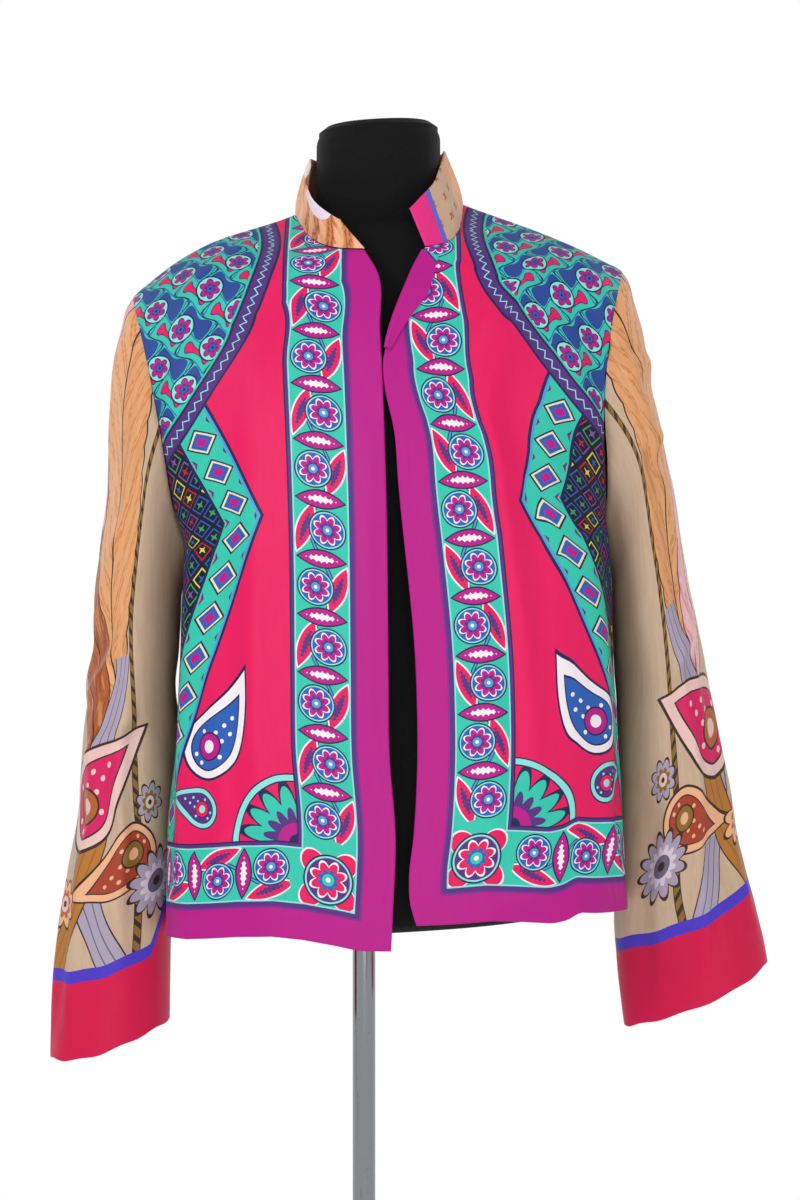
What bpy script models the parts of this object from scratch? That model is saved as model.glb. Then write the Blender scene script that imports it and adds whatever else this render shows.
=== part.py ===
"""Open-front silk jacket with long sleeves and a stand collar, on a limbless dress form.

Metres, +Z up. The origin is on the floor, on the axis of the form's pole. +X is the viewer's
right, which is the wearer's left, and the fronts face -Y. Every cloth piece is a wall whose
outer skin comes from sections: a front or the back from rows between its two edges, a sleeve
from rings down its length, the collar from stations round the neckline.
"""
import math
from collections import namedtuple

import bpy
import numpy as np

# Cloth: silk with its facing, as one wall, and the clearance left at each seam.
WALL = 0.0012
SEAM = 0.0003

# Rows of a panel: from the hem to the bottom of the armhole, on to the corner of the neckline,
# and along the neckline; columns across it; and the rings and rows of the other cloth pieces.
ROWS_BELOW = 8
ROWS_CHEST = 8
ROWS_NECK = 5
COLUMNS = 15
RINGS_SLEEVE = 20
ROWS_COLLAR = 5

# How far the panels give way to the sleeve at the bottom of the armhole.
UNDERARM_EASE = 0.0014

# Turn round the armhole, from its top, at which the row from the neckline's corner ends.
CORNER_TURN = 0.30 * math.pi
# Height above the armhole's bottom over which the sides' pinch dies out, and its depth in y.
PINCH_FADE = 0.080
PINCH_DEPTH = 0.060

# One side of the body: x and z of the armhole's top, middle and bottom, of the hem at the side
# seam and of the neck point, and how far the shoulder seam arches. The side seam is pinched in
# behind the sleeve, by one amount at the hem and another at the armhole.
Side = namedtuple("Side", "out tip_x mid_x pit_x hem_x tip_z pit_z hem_z neck_x neck_z arch "
                          "pinch_hem pinch_pit")
RIGHT = Side(-1, -0.1920, -0.1665, -0.1370, -0.1450, 1.2520, 1.0400, 0.7250, -0.0575, 1.3215,
             0.0130, 0.0215, 0.0160)
LEFT = Side(1, 0.2150, 0.1965, 0.1890, 0.1970, 1.2735, 1.0520, 0.7440, 0.0825, 1.3300,
            0.0045, 0.0230, 0.0180)
ARMHOLE_FRONT = 0.0620
ARMHOLE_BACK = 0.0580

# Free edge of each front, from the hem up: height and x. The left front's upper rows are its
# roll line, where the top corner of the front turns back.
EdgeRow = namedtuple("EdgeRow", "z x")
EDGE_RIGHT = [EdgeRow(*row) for row in (
    (0.7225, 0.0230), (0.7530, 0.0245), (0.8100, 0.0266), (0.8800, 0.0217), (0.9370, 0.0210),
    (1.0950, 0.0189), (1.2160, 0.0140), (1.2680, 0.0105), (1.2840, 0.0010))]
EDGE_LEFT = [EdgeRow(*row) for row in (
    (0.7425, 0.0430), (0.7600, 0.0380), (0.7820, 0.0371), (0.8105, 0.0403), (0.8600, 0.0433),
    (0.9370, 0.0427), (1.0950, 0.0284), (1.1350, 0.0252), (1.1700, 0.0178), (1.1860, 0.0164),
    (1.2050, 0.0190), (1.2530, 0.0348), (1.2760, 0.0450), (1.2860, 0.0507))]

# Depth of the fronts' free edges and of the centre back at each height.
DepthRow = namedtuple("DepthRow", "z front back")
DEPTHS = [DepthRow(*row) for row in (
    (0.72, -0.133, 0.120), (0.80, -0.132, 0.117), (0.90, -0.129, 0.113), (1.00, -0.126, 0.113),
    (1.10, -0.122, 0.118), (1.18, -0.111, 0.121), (1.24, -0.093, 0.115), (1.285, -0.072, 0.098),
    (1.335, -0.050, 0.070))]

# Centre back: x at the hem and at the neck, and the heights of both.
BACK_HEM = (0.027, 0.735)
BACK_NECK = (0.013, 1.334)

# Neckline from the front corner to the neck point: share of the way, and how far across,
# forward and up of a straight line it bows.
NECK_BOW_FRONT = (0.0085, -0.014, -0.011)
NECK_BOW_BACK = (0.016, 0.018, -0.002)

# How square the body's section is, at the hem and at the shoulder; 2 is an ellipse.
SQUARENESS_HEM = 3.0
SQUARENESS_SHOULDER = 2.4

# Sleeve sections from the cap down to below the cuff: height, outer and inner x, half depth,
# and the depth of the section's middle.
SleeveRow = namedtuple("SleeveRow", "z outer inner half_depth middle_y")
SLEEVE_RIGHT = [SleeveRow(*row) for row in (
    (1.26, -0.1900, -0.1780, 0.050, 0.000), (1.21, -0.2050, -0.1540, 0.060, 0.000),
    (1.15, -0.2095, -0.1400, 0.066, 0.000), (1.09, -0.2120, -0.1450, 0.070, 0.002),
    (1.04, -0.2200, -0.1495, 0.071, 0.003), (0.99, -0.2258, -0.1540, 0.070, 0.004),
    (0.92, -0.2310, -0.1580, 0.067, 0.006), (0.85, -0.2385, -0.1600, 0.062, 0.008),
    (0.78, -0.2470, -0.1605, 0.056, 0.008), (0.71, -0.2540, -0.1605, 0.049, 0.006),
    (0.65, -0.2590, -0.1620, 0.044, 0.004), (0.60, -0.2635, -0.1640, 0.042, 0.003))]
SLEEVE_LEFT = [SleeveRow(*row) for row in (
    (1.28, 0.2130, 0.2050, 0.050, 0.000), (1.23, 0.2290, 0.1940, 0.060, 0.000),
    (1.17, 0.2410, 0.1900, 0.066, 0.000), (1.11, 0.2537, 0.1970, 0.070, 0.002),
    (1.05, 0.2640, 0.2025, 0.071, 0.004), (0.99, 0.2750, 0.2065, 0.070, 0.006),
    (0.92, 0.2895, 0.2090, 0.066, 0.008), (0.85, 0.3040, 0.2100, 0.060, 0.010),
    (0.78, 0.3190, 0.2100, 0.052, 0.012), (0.72, 0.3325, 0.2095, 0.044, 0.012),
    (0.66, 0.3430, 0.2150, 0.036, 0.011), (0.60, 0.3520, 0.2260, 0.034, 0.010))]
# Height of each cuff at its outer and inner edge.
CUFF_RIGHT = (0.6200, 0.6500)
CUFF_LEFT = (0.6980, 0.6440)
# Length over which a sleeve leaves the armhole's own line, at its top and at its bottom.
CAP_TOP = 0.085
CAP_BOTTOM = 0.040

# Soft folds of the sleeves: place round the section (0 outside, 0.25 front), height, how far
# the fold runs round, its width along the sleeve and its depth.
Fold = namedtuple("Fold", "turn z run width depth")
FOLDS_RIGHT = [Fold(0.14, 0.960, 0.16, 0.022, 0.0060), Fold(0.30, 0.900, 0.12, 0.024, 0.0050),
               Fold(0.62, 0.930, 0.15, 0.024, 0.0055), Fold(0.12, 0.820, 0.14, 0.026, 0.0045)]
FOLDS_LEFT = [Fold(0.22, 1.120, 0.16, 0.022, 0.0050), Fold(0.30, 0.930, 0.14, 0.026, 0.0055),
              Fold(0.66, 0.900, 0.15, 0.026, 0.0055), Fold(0.16, 0.800, 0.14, 0.028, 0.0050)]

# Collar stations from the wearer's right end round the back to the left end: share of the
# neckline, rise, lean towards the neck, and shift towards the viewer's left.
CollarRow = namedtuple("CollarRow", "share rise lean shift")
COLLAR = [CollarRow(*row) for row in (
    (0.000, 0.032, 0.002, 0.021), (0.060, 0.040, 0.003, 0.017), (0.130, 0.046, 0.006, 0.010),
    (0.220, 0.046, 0.013, 0.003), (0.320, 0.045, 0.014, 0.000), (0.500, 0.045, 0.010, 0.000),
    (0.680, 0.045, 0.012, 0.000), (0.800, 0.044, 0.013, 0.003), (0.900, 0.046, 0.008, 0.010),
    (1.000, 0.036, 0.001, 0.012))]

# Facing that shows where the left front's top corner turns back: how many of the panel's rows
# its ends lie below the neckline's corner, its width there, and how high it rolls.
FACING_DROP = 2.90
FACING_TOP = 0.12
FACING_WIDTHS = (0.0030, 0.0190)
FACING_ROLL = 0.0022
FACING_ROWS = 8
FACING_COLUMNS = 4

# Dress form, from the bottom up: height, half width, front and back depth and x of its middle.
FormRow = namedtuple("FormRow", "z half_width front back middle_x")
FORM = [FormRow(*row) for row in (
    (0.7330, 0.136, -0.101, 0.090, 0.024), (0.7390, 0.146, -0.110, 0.098, 0.024),
    (0.7600, 0.150, -0.114, 0.101, 0.024), (0.8200, 0.151, -0.115, 0.101, 0.023),
    (0.9000, 0.142, -0.109, 0.096, 0.022), (0.9700, 0.134, -0.105, 0.093, 0.021),
    (1.0400, 0.136, -0.107, 0.098, 0.019), (1.1000, 0.146, -0.109, 0.104, 0.017),
    (1.1500, 0.158, -0.104, 0.108, 0.015), (1.2000, 0.171, -0.090, 0.106, 0.014),
    (1.2350, 0.177, -0.074, 0.094, 0.013), (1.2600, 0.173, -0.061, 0.080, 0.013),
    (1.2780, 0.156, -0.050, 0.070, 0.013), (1.2940, 0.119, -0.042, 0.060, 0.013),
    (1.3070, 0.078, -0.036, 0.055, 0.013), (1.3190, 0.059, -0.0410, 0.053, 0.013),
    (1.3320, 0.0540, -0.0460, 0.0525, 0.0125), (1.3520, 0.0517, -0.0500, 0.0520, 0.012),
    (1.3800, 0.0515, -0.0515, 0.0515, 0.012), (1.3900, 0.0495, -0.0490, 0.0490, 0.012),
    (1.3945, 0.0435, -0.0430, 0.0430, 0.012))]
FORM_SIDES = 32
FORM_SQUARENESS = 2.25
# The form stands a little tilted: rise per metre towards the viewer's right.
FORM_TILT = 0.055

# Stand.
POLE_RADIUS = 0.0095
POLE_TOP = 0.7314
BASE_RADIUS = 0.150
BASE_THICKNESS = 0.008
BASE_EDGE = 0.003
HUB_RADIUS = 0.0200
HUB_HEIGHT = 0.030


def clear_scene():
    for scene_object in list(bpy.data.objects):
        bpy.data.objects.remove(scene_object)


def material(name, colour, roughness, metallic=0.0):
    made = bpy.data.materials.new(name)
    made.use_nodes = True
    shader = made.node_tree.nodes["Principled BSDF"]
    shader.inputs["Base Color"].default_value = (*colour, 1.0)
    shader.inputs["Roughness"].default_value = roughness
    shader.inputs["Metallic"].default_value = metallic
    return made


def follow(stations, values, at):
    """Values at the given stations, on a smooth curve through the known ones."""
    stations = np.asarray(stations, float)
    values = np.asarray(values, float)
    at = np.clip(np.asarray(at, float), stations[0], stations[-1])
    slopes = np.gradient(values, stations)
    low = np.clip(np.searchsorted(stations, at) - 1, 0, len(stations) - 2)
    width = stations[low + 1] - stations[low]
    share = (at - stations[low]) / width
    ease = share * share * (3 - 2 * share)
    bend_low = share * (1 - share) ** 2 * width * slopes[low]
    bend_high = share * share * (share - 1) * width * slopes[low + 1]
    return values[low] * (1 - ease) + values[low + 1] * ease + bend_low + bend_high


def column(rows, name):
    return [getattr(row, name) for row in rows]


def resample(points, shares):
    """Points at the given shares of a line's length."""
    steps = np.linalg.norm(np.diff(points, axis=0), axis=1)
    length = np.concatenate(([0.0], np.cumsum(steps)))
    return np.stack([np.interp(shares * length[-1], length, points[:, k]) for k in range(3)], axis=1)


def pinch(side, z, y):
    """How far the side is pressed in at a height and depth."""
    if z < side.pit_z:
        up = (z - side.hem_z) / (side.pit_z - side.hem_z)
        amount = side.pinch_hem + up * (side.pinch_pit - side.pinch_hem)
    else:
        fade = max(0.0, 1 - (z - side.pit_z) / PINCH_FADE)
        amount = side.pinch_pit * fade * fade * (3 - 2 * fade)
    return amount * np.cos(np.clip(np.abs(y) / PINCH_DEPTH, 0, 1) * math.pi / 2) ** 2


def armhole(side, turn, depth):
    """Point of the armhole at a turn from its top (0) to its bottom (pi)."""
    reach = math.cos(turn)
    bottom_x = side.pit_x + side.out * side.pinch_pit
    x = (side.mid_x + (side.tip_x - bottom_x) / 2 * reach
         + ((side.tip_x + bottom_x) / 2 - side.mid_x) * reach * reach)
    y = depth * math.sin(turn)
    z = (side.tip_z + side.pit_z) / 2 + (side.tip_z - side.pit_z) / 2 * reach
    return np.array((x - side.out * pinch(side, z, y), y, z))


def armhole_point(side, turn):
    """Point all round the armhole: down its front half, then up its back half."""
    return armhole(side, turn, -ARMHOLE_FRONT if turn < math.pi else -ARMHOLE_BACK)


def armhole_turns():
    """Turns of the panels' rows round the armhole, from its bottom to its top."""
    chest = np.linspace(math.pi, CORNER_TURN, ROWS_CHEST + 1)
    return np.concatenate((chest, np.linspace(CORNER_TURN, 0, ROWS_NECK + 1)[1:]))


def neckline(corner, side, bow, shares):
    """Neckline from its front or back middle to the neck point."""
    neck = np.array((side.neck_x, 0.0, side.neck_z))
    line = corner + np.outer(shares, neck - corner)
    line += np.outer(np.sin(math.pi * shares), np.array((bow[0] * side.out, bow[1], bow[2])))
    return line


def centre_point(rows, z):
    """Point of a front's free edge, or of the centre back, at a height."""
    if rows:
        x = follow(column(rows, "z"), column(rows, "x"), z)
        y = follow(column(DEPTHS, "z"), column(DEPTHS, "front"), z)
    else:
        x = BACK_HEM[0] + (z - BACK_HEM[1]) / (BACK_NECK[1] - BACK_HEM[1]) * (BACK_NECK[0] - BACK_HEM[0])
        y = follow(column(DEPTHS, "z"), column(DEPTHS, "back"), z)
    return np.array((float(x), float(y), z))


def row_ends(side, rows):
    """Both ends of each row of a panel: at its free edge or centre, and at its side."""
    hem_z, corner_z = (rows[0].z, rows[-1].z) if rows else (BACK_HEM[1], BACK_NECK[1])
    level_z = side.pit_z if rows else (RIGHT.pit_z + LEFT.pit_z) / 2
    bow = NECK_BOW_FRONT if rows else NECK_BOW_BACK
    ends = []
    for up in np.linspace(0, 1, ROWS_BELOW + 1):
        side_z = side.hem_z + up * (side.pit_z - side.hem_z)
        side_x = side.hem_x + up * (side.pit_x - side.hem_x)
        ends.append((centre_point(rows, hem_z + up * (level_z - hem_z)),
                     np.array((side_x, 0.0, side_z))))
    depth = -ARMHOLE_FRONT if rows else ARMHOLE_BACK
    sides = [armhole(side, turn, depth) for turn in armhole_turns()[1:]]
    middles = [centre_point(rows, level_z + up * (corner_z - level_z))
               for up in np.linspace(0, 1, ROWS_CHEST + 1)[1:]]
    middles += list(neckline(middles[-1], side, bow, np.linspace(0, 1, ROWS_NECK + 1)[1:]))
    return ends + list(zip(middles, sides))


def body_row(side, centre, edge, sweep, squareness, columns):
    """One row of a panel: part of a superellipse from its centre round to its side."""
    turn = np.linspace(0, sweep, 181)
    across = (np.sin(turn) / math.sin(sweep)) ** (2 / squareness)
    deep = 1 - np.cos(turn) ** (2 / squareness)
    deep /= deep[-1]
    edge_x = edge[0] + side.out * pinch(side, edge[2], edge[1])
    x = centre[0] + (edge_x - centre[0]) * across
    y = centre[1] + (edge[1] - centre[1]) * deep
    z = centre[2] + (edge[2] - centre[2]) * across
    x -= side.out * pinch(side, edge[2], y)
    return resample(np.stack((x, y, z), axis=1), columns)


def half_panel(side, rows):
    """Outer skin of a front, or of half the back: a grid of rows from hem to shoulder."""
    columns = np.linspace(0, 1, COLUMNS + 1)
    grid = []
    sweep = math.pi / 2
    for number, (centre, edge) in enumerate(row_ends(side, rows)):
        above = max(0, number - ROWS_BELOW) / (ROWS_CHEST + ROWS_NECK)
        squareness = SQUARENESS_HEM + (SQUARENESS_SHOULDER - SQUARENESS_HEM) * above
        if number <= ROWS_BELOW + ROWS_CHEST:
            sweep = math.acos((edge[1] / centre[1]) ** (squareness / 2))
        row = body_row(side, centre, edge, sweep, squareness, columns)
        on_shoulder = max(0, number - ROWS_BELOW - ROWS_CHEST) / ROWS_NECK
        row[:, 2] += side.arch * on_shoulder * np.sin(math.pi * columns ** 1.35)
        grid.append(row)
    return np.array(grid)


def skin_normals(grid, closed):
    """Unit normals of a grid of rows, on the side that u cross v points to."""
    if closed:
        along = np.roll(grid, -1, axis=1) - np.roll(grid, 1, axis=1)
    else:
        along = np.gradient(grid, axis=1)
    normals = np.cross(along, np.gradient(grid, axis=0))
    return normals / np.linalg.norm(normals, axis=2, keepdims=True)


def unit(vectors):
    return vectors / np.linalg.norm(vectors, axis=-1, keepdims=True)


def cloth_wall(name, collection, patches, finish):
    """One closed wall from patches of outer skin, the same moved inward, and its rims."""
    numbers, outer, inner, faces = {}, [], [], []
    for skin, inward, closed in patches:
        rows, columns = skin.shape[:2]
        index = np.zeros((rows, columns), int)
        for place in np.ndindex(rows, columns):
            key = tuple(np.round(skin[place], 6))
            if key not in numbers:
                numbers[key] = len(outer)
                outer.append(skin[place])
                inner.append(skin[place] + inward[place] * WALL)
            index[place] = numbers[key]
        for row in range(rows - 1):
            for step in range(columns if closed else columns - 1):
                following = (step + 1) % columns
                faces.append((index[row, step], index[row, following],
                              index[row + 1, following], index[row + 1, step]))
    edges = {(face[k], face[(k + 1) % 4]) for face in faces for k in range(4)}
    count = len(outer)
    lining = [tuple(count + corner for corner in reversed(face)) for face in faces]
    rims = [(b, a, count + a, count + b) for a, b in sorted(edges) if (b, a) not in edges]
    return add_mesh(name, collection, outer + inner, faces + lining + rims, finish)


def add_mesh(name, collection, vertices, faces, finish):
    mesh = bpy.data.meshes.new(name)
    mesh.from_pydata([tuple(point) for point in vertices], [], faces)
    mesh.shade_smooth()
    mesh.set_sharp_from_angle(angle=math.radians(50))
    made = bpy.data.objects.new(name, mesh)
    made.data.materials.append(finish)
    collection.objects.link(made)
    return made


def seam_share(side, z):
    """How far the two walls at an armhole share one direction: fully above its lower third."""
    rise = (z - side.pit_z) / (side.tip_z - side.pit_z)
    return float(np.clip((rise - 0.08) / 0.30, 0, 1))


def seam_inward(side, point, own):
    """Direction in which a wall goes in from the armhole's edge."""
    middle = np.array((point[0], 0.0, (side.tip_z + side.pit_z) / 2))
    shared = seam_share(side, point[2])
    return unit(shared * unit(middle - point) + (1 - shared) * own)


def seam_fit(side, skin, inward, facing):
    """Clear the neighbours at the side seam, armhole and shoulder, on shared directions."""
    outward = np.array((side.out, 0.0, 0.0))
    for row in range(len(skin)):
        if row <= ROWS_BELOW:
            inward[row, -1] = -outward
            skin[row, -1, 1] += facing * SEAM / 2
        else:
            inward[row, -1] = seam_inward(side, skin[row, -1], inward[row, -1])
            skin[row, -1] -= outward * SEAM / 2
    skin[ROWS_BELOW:ROWS_BELOW + 2, -2] -= outward * UNDERARM_EASE
    skin[-1, :, 1] += facing * SEAM / 2
    inward[-1] = (0.0, 0.0, -1.0)


def make_front(name, collection, side, rows, finish):
    skin = half_panel(side, rows)
    inward = -skin_normals(skin, False) * side.out
    seam_fit(side, skin, inward, -1)
    if side.out < 0:
        skin, inward = skin[:, ::-1], inward[:, ::-1]
    return cloth_wall(name, collection, [(skin, inward, False)], finish)


def make_back(name, collection, finish):
    patches = []
    for side in (LEFT, RIGHT):
        skin = half_panel(side, None)
        inward = skin_normals(skin, False) * side.out
        seam_fit(side, skin, inward, 1)
        rise = np.gradient(skin[:ROWS_BELOW + ROWS_CHEST + 1, 0], axis=0)
        centre = np.stack((0 * rise[:, 0], -rise[:, 2], rise[:, 1]), axis=1)
        inward[:len(rise), 0] = unit(centre)
        if side is LEFT:
            skin, inward = skin[:, ::-1], inward[:, ::-1]
        patches.append((skin, inward, False))
    return cloth_wall(name, collection, patches, finish)


def sleeve_skin(side, rows, cuff, folds, turns, shares):
    """Outer skin of a sleeve: rings from the armhole to the cuff."""
    grid = []
    heights = column(rows, "z")[::-1]
    tables = {name: column(rows, name)[::-1] for name in ("outer", "inner", "half_depth", "middle_y")}
    for share in shares:
        ring = []
        for turn in turns:
            start = armhole_point(side, turn)
            end_z = (cuff[0] + cuff[1]) / 2 + (cuff[0] - cuff[1]) / 2 * math.cos(turn)
            length = start[2] - end_z
            z = start[2] - share * length
            point = sleeve_section(heights, tables, turn, z)
            offset = start - sleeve_section(heights, tables, turn, start[2])
            cap = CAP_TOP + (CAP_BOTTOM - CAP_TOP) * (1 - math.cos(turn)) / 2
            leave = max(0.0, 1 - share * length / cap) ** 2
            point = point + leave * offset
            for fold in folds:
                away = (turn / (2 * math.pi) - fold.turn + 0.5) % 1 - 0.5
                strength = math.exp(-(away / fold.run) ** 2 - ((z - fold.z) / fold.width) ** 2)
                centre_x = (float(follow(heights, tables["outer"], z))
                            + float(follow(heights, tables["inner"], z))) / 2
                towards = np.array((centre_x - point[0], -point[1], 0.0))
                point = point + fold.depth * strength * towards / np.linalg.norm(towards)
            ring.append(point)
        grid.append(ring)
    return np.array(grid)


def sleeve_section(heights, tables, turn, z):
    outer = float(follow(heights, tables["outer"], z))
    inner = float(follow(heights, tables["inner"], z))
    half_depth = float(follow(heights, tables["half_depth"], z))
    middle_y = float(follow(heights, tables["middle_y"], z))
    x = (outer + inner) / 2 + (outer - inner) / 2 * math.cos(turn)
    return np.array((x, middle_y - half_depth * math.sin(turn), z))


def make_sleeve(name, collection, side, rows, cuff, folds, finish):
    half = armhole_turns()[::-1]
    turns = np.concatenate((half, 2 * math.pi - half[::-1][1:-1]))
    shares = np.linspace(0, 1, RINGS_SLEEVE + 1) ** 1.15
    skin = sleeve_skin(side, rows, cuff, folds, turns, shares)
    inward = -skin_normals(skin, True) * side.out
    for step in range(len(turns)):
        inward[0, step] = seam_inward(side, skin[0, step], inward[0, step])
        skin[0, step, 0] += side.out * SEAM * (1 - seam_share(side, skin[0, step, 2]) / 2)
    if side.out < 0:
        skin, inward = skin[:, ::-1], inward[:, ::-1]
    return cloth_wall(name, collection, [(skin, inward, True)], finish)


def whole_neckline():
    """Neckline points from the right front's corner round the back to the left front's."""
    shares = np.linspace(0, 1, ROWS_NECK + 1)
    back_corner = centre_point(None, BACK_NECK[1])
    right_front = neckline(centre_point(EDGE_RIGHT, EDGE_RIGHT[-1].z), RIGHT, NECK_BOW_FRONT, shares)
    right_back = neckline(back_corner, RIGHT, NECK_BOW_BACK, shares)
    left_back = neckline(back_corner, LEFT, NECK_BOW_BACK, shares)
    left_front = neckline(centre_point(EDGE_LEFT, EDGE_LEFT[-1].z), LEFT, NECK_BOW_FRONT, shares)
    return np.concatenate((right_front, right_back[::-1][1:], left_back[1:], left_front[::-1][1:]))


def make_collar(name, collection, finish):
    base = whole_neckline()
    steps = np.linalg.norm(np.diff(base, axis=0), axis=1)
    share = np.concatenate(([0.0], np.cumsum(steps))) / steps.sum()
    rise = follow(column(COLLAR, "share"), column(COLLAR, "rise"), share)
    lean = follow(column(COLLAR, "share"), column(COLLAR, "lean"), share)
    shift = follow(column(COLLAR, "share"), column(COLLAR, "shift"), share)
    axis = np.array((BACK_NECK[0], 0.0))
    towards = axis - base[:, :2]
    towards /= np.linalg.norm(towards, axis=1, keepdims=True)
    grid = []
    for level in np.linspace(0, 1, ROWS_COLLAR + 1):
        row = base.copy()
        row[:, 2] += 2 * SEAM + rise * level
        row[:, :2] += towards * (lean * level ** 1.3)[:, None]
        row[:, 0] -= shift * level
        grid.append(row)
    skin = np.array(grid)
    inward = skin_normals(skin, False)
    inward[0, :, 2] = 0.0
    return cloth_wall(name, collection, [(skin[:, ::-1], unit(inward)[:, ::-1], False)], finish)


def make_facing(name, collection, finish):
    """Turned-back corner of the left front, built on the front's own points, moved out."""
    front = half_panel(LEFT, EDGE_LEFT)
    normals = skin_normals(front, False)
    corner = ROWS_BELOW + ROWS_CHEST
    levels = np.linspace(corner - FACING_DROP, corner - FACING_TOP, FACING_ROWS + 1)
    widths = np.linspace(*FACING_WIDTHS, FACING_ROWS + 1)
    across = np.linspace(0, 1, FACING_COLUMNS + 1)
    skin, inward = [], []
    for level, width in zip(levels, widths):
        low = int(min(level, corner - 1e-6))
        line = front[low] + (level - low) * (front[low + 1] - front[low])
        out = normals[low] + (level - low) * (normals[low + 1] - normals[low])
        reach = np.concatenate(([0.0], np.cumsum(np.linalg.norm(np.diff(line, axis=0), axis=1))))
        points = np.stack([np.interp(across * width, reach, line[:, k]) for k in range(3)], axis=1)
        outward = unit(np.stack([np.interp(across * width, reach, out[:, k]) for k in range(3)], axis=1))
        lift = 1.4 * SEAM + WALL + FACING_ROLL * (1 - across) ** 2
        skin.append(points + outward * lift[:, None])
        inward.append(-outward)
    return cloth_wall(name, collection, [(np.array(skin), np.array(inward), False)], finish)


def make_form(name, collection, finish):
    """Solid dress form: superellipse rings from its bottom to the top of the neck."""
    turns = np.linspace(0, 2 * math.pi, FORM_SIDES + 1)[:-1]
    vertices, faces = [], []
    for row in FORM:
        for turn in turns:
            across = math.copysign(abs(math.cos(turn)) ** (2 / FORM_SQUARENESS), math.cos(turn))
            deep = math.copysign(abs(math.sin(turn)) ** (2 / FORM_SQUARENESS), math.sin(turn))
            x = row.middle_x + row.half_width * across
            y = deep * (row.back if deep > 0 else -row.front)
            z = row.z + FORM_TILT * (x - BACK_NECK[0])
            vertices.append((x, y, z))
    for ring in range(len(FORM) - 1):
        for step in range(FORM_SIDES):
            following = (step + 1) % FORM_SIDES
            low, high = ring * FORM_SIDES, (ring + 1) * FORM_SIDES
            faces.append((low + step, low + following, high + following, high + step))
    top = (len(FORM) - 1) * FORM_SIDES
    faces.append(tuple(reversed(range(FORM_SIDES))))
    faces.append(tuple(range(top, top + FORM_SIDES)))
    return add_mesh(name, collection, vertices, faces, finish)


def link_only(made, name, collection, finish):
    made.name = name
    made.data.name = name
    for other in list(made.users_collection):
        other.objects.unlink(made)
    collection.objects.link(made)
    made.data.materials.clear()
    made.data.materials.append(finish)
    return made


def make_pole(name, collection, finish):
    bottom = BASE_THICKNESS + SEAM
    bpy.ops.mesh.primitive_cylinder_add(
        vertices=24, radius=POLE_RADIUS, depth=POLE_TOP - bottom,
        location=(0, 0, (POLE_TOP + bottom) / 2))
    pole = link_only(bpy.context.object, name, collection, finish)
    pole.data.shade_smooth()
    pole.data.set_sharp_from_angle(angle=math.radians(40))
    return pole


def make_base(name, collection, finish):
    """Round foot plate with a low hub that takes the pole, as one turned profile."""
    profile = ((0.0, BASE_THICKNESS), (POLE_RADIUS + SEAM, BASE_THICKNESS),
               (POLE_RADIUS + SEAM, HUB_HEIGHT), (HUB_RADIUS - 0.004, HUB_HEIGHT),
               (HUB_RADIUS, HUB_HEIGHT - 0.006), (HUB_RADIUS, BASE_THICKNESS),
               (BASE_RADIUS - BASE_EDGE, BASE_THICKNESS),
               (BASE_RADIUS, BASE_THICKNESS - BASE_EDGE), (BASE_RADIUS, 0.0), (0.0, 0.0))
    mesh = bpy.data.meshes.new(name)
    edges = [(step, step + 1) for step in range(len(profile) - 1)]
    mesh.from_pydata([(radius, 0.0, z) for radius, z in profile], edges, [])
    base = bpy.data.objects.new(name, mesh)
    base.data.materials.append(finish)
    collection.objects.link(base)
    screw = base.modifiers.new("Turned", "SCREW")
    screw.steps = 48
    screw.render_steps = 48
    screw.use_merge_vertices = True
    screw.merge_threshold = 0.0001
    screw.use_smooth_shade = False
    return base


clear_scene()
parts = bpy.data.collections.new("silk_jacket_on_form")
bpy.context.scene.collection.children.link(parts)

silk_magenta = material("silk_print", (0.78, 0.10, 0.33), 0.42)
silk_taupe = material("silk_sleeve", (0.48, 0.40, 0.30), 0.42)
jersey = material("black_jersey", (0.012, 0.012, 0.013), 0.85)
chrome = material("chrome", (0.78, 0.79, 0.80), 0.12, 1.0)
steel = material("painted_steel", (0.05, 0.05, 0.05), 0.45)

make_front("front_right", parts, RIGHT, EDGE_RIGHT, silk_magenta)
make_front("front_left", parts, LEFT, EDGE_LEFT, silk_magenta)
make_back("back", parts, silk_magenta)
make_sleeve("sleeve_right", parts, RIGHT, SLEEVE_RIGHT, CUFF_RIGHT, FOLDS_RIGHT, silk_taupe)
make_sleeve("sleeve_left", parts, LEFT, SLEEVE_LEFT, CUFF_LEFT, FOLDS_LEFT, silk_taupe)
make_collar("collar", parts, silk_taupe)
make_facing("facing_left", parts, silk_magenta)
make_form("dress_form", parts, jersey)
make_pole("pole", parts, chrome)
make_base("base_plate", parts, steel)
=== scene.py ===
"""Open-front silk jacket on a black limbless dress form: finishes, cloth and light.

Metres, +Z up, origin on the floor under the pole. +X is the wearer's left. The file follows the
object as it is put together: foot plate, pole, form, then the jacket from the back to the collar.
"""
import math
from collections import namedtuple

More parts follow.
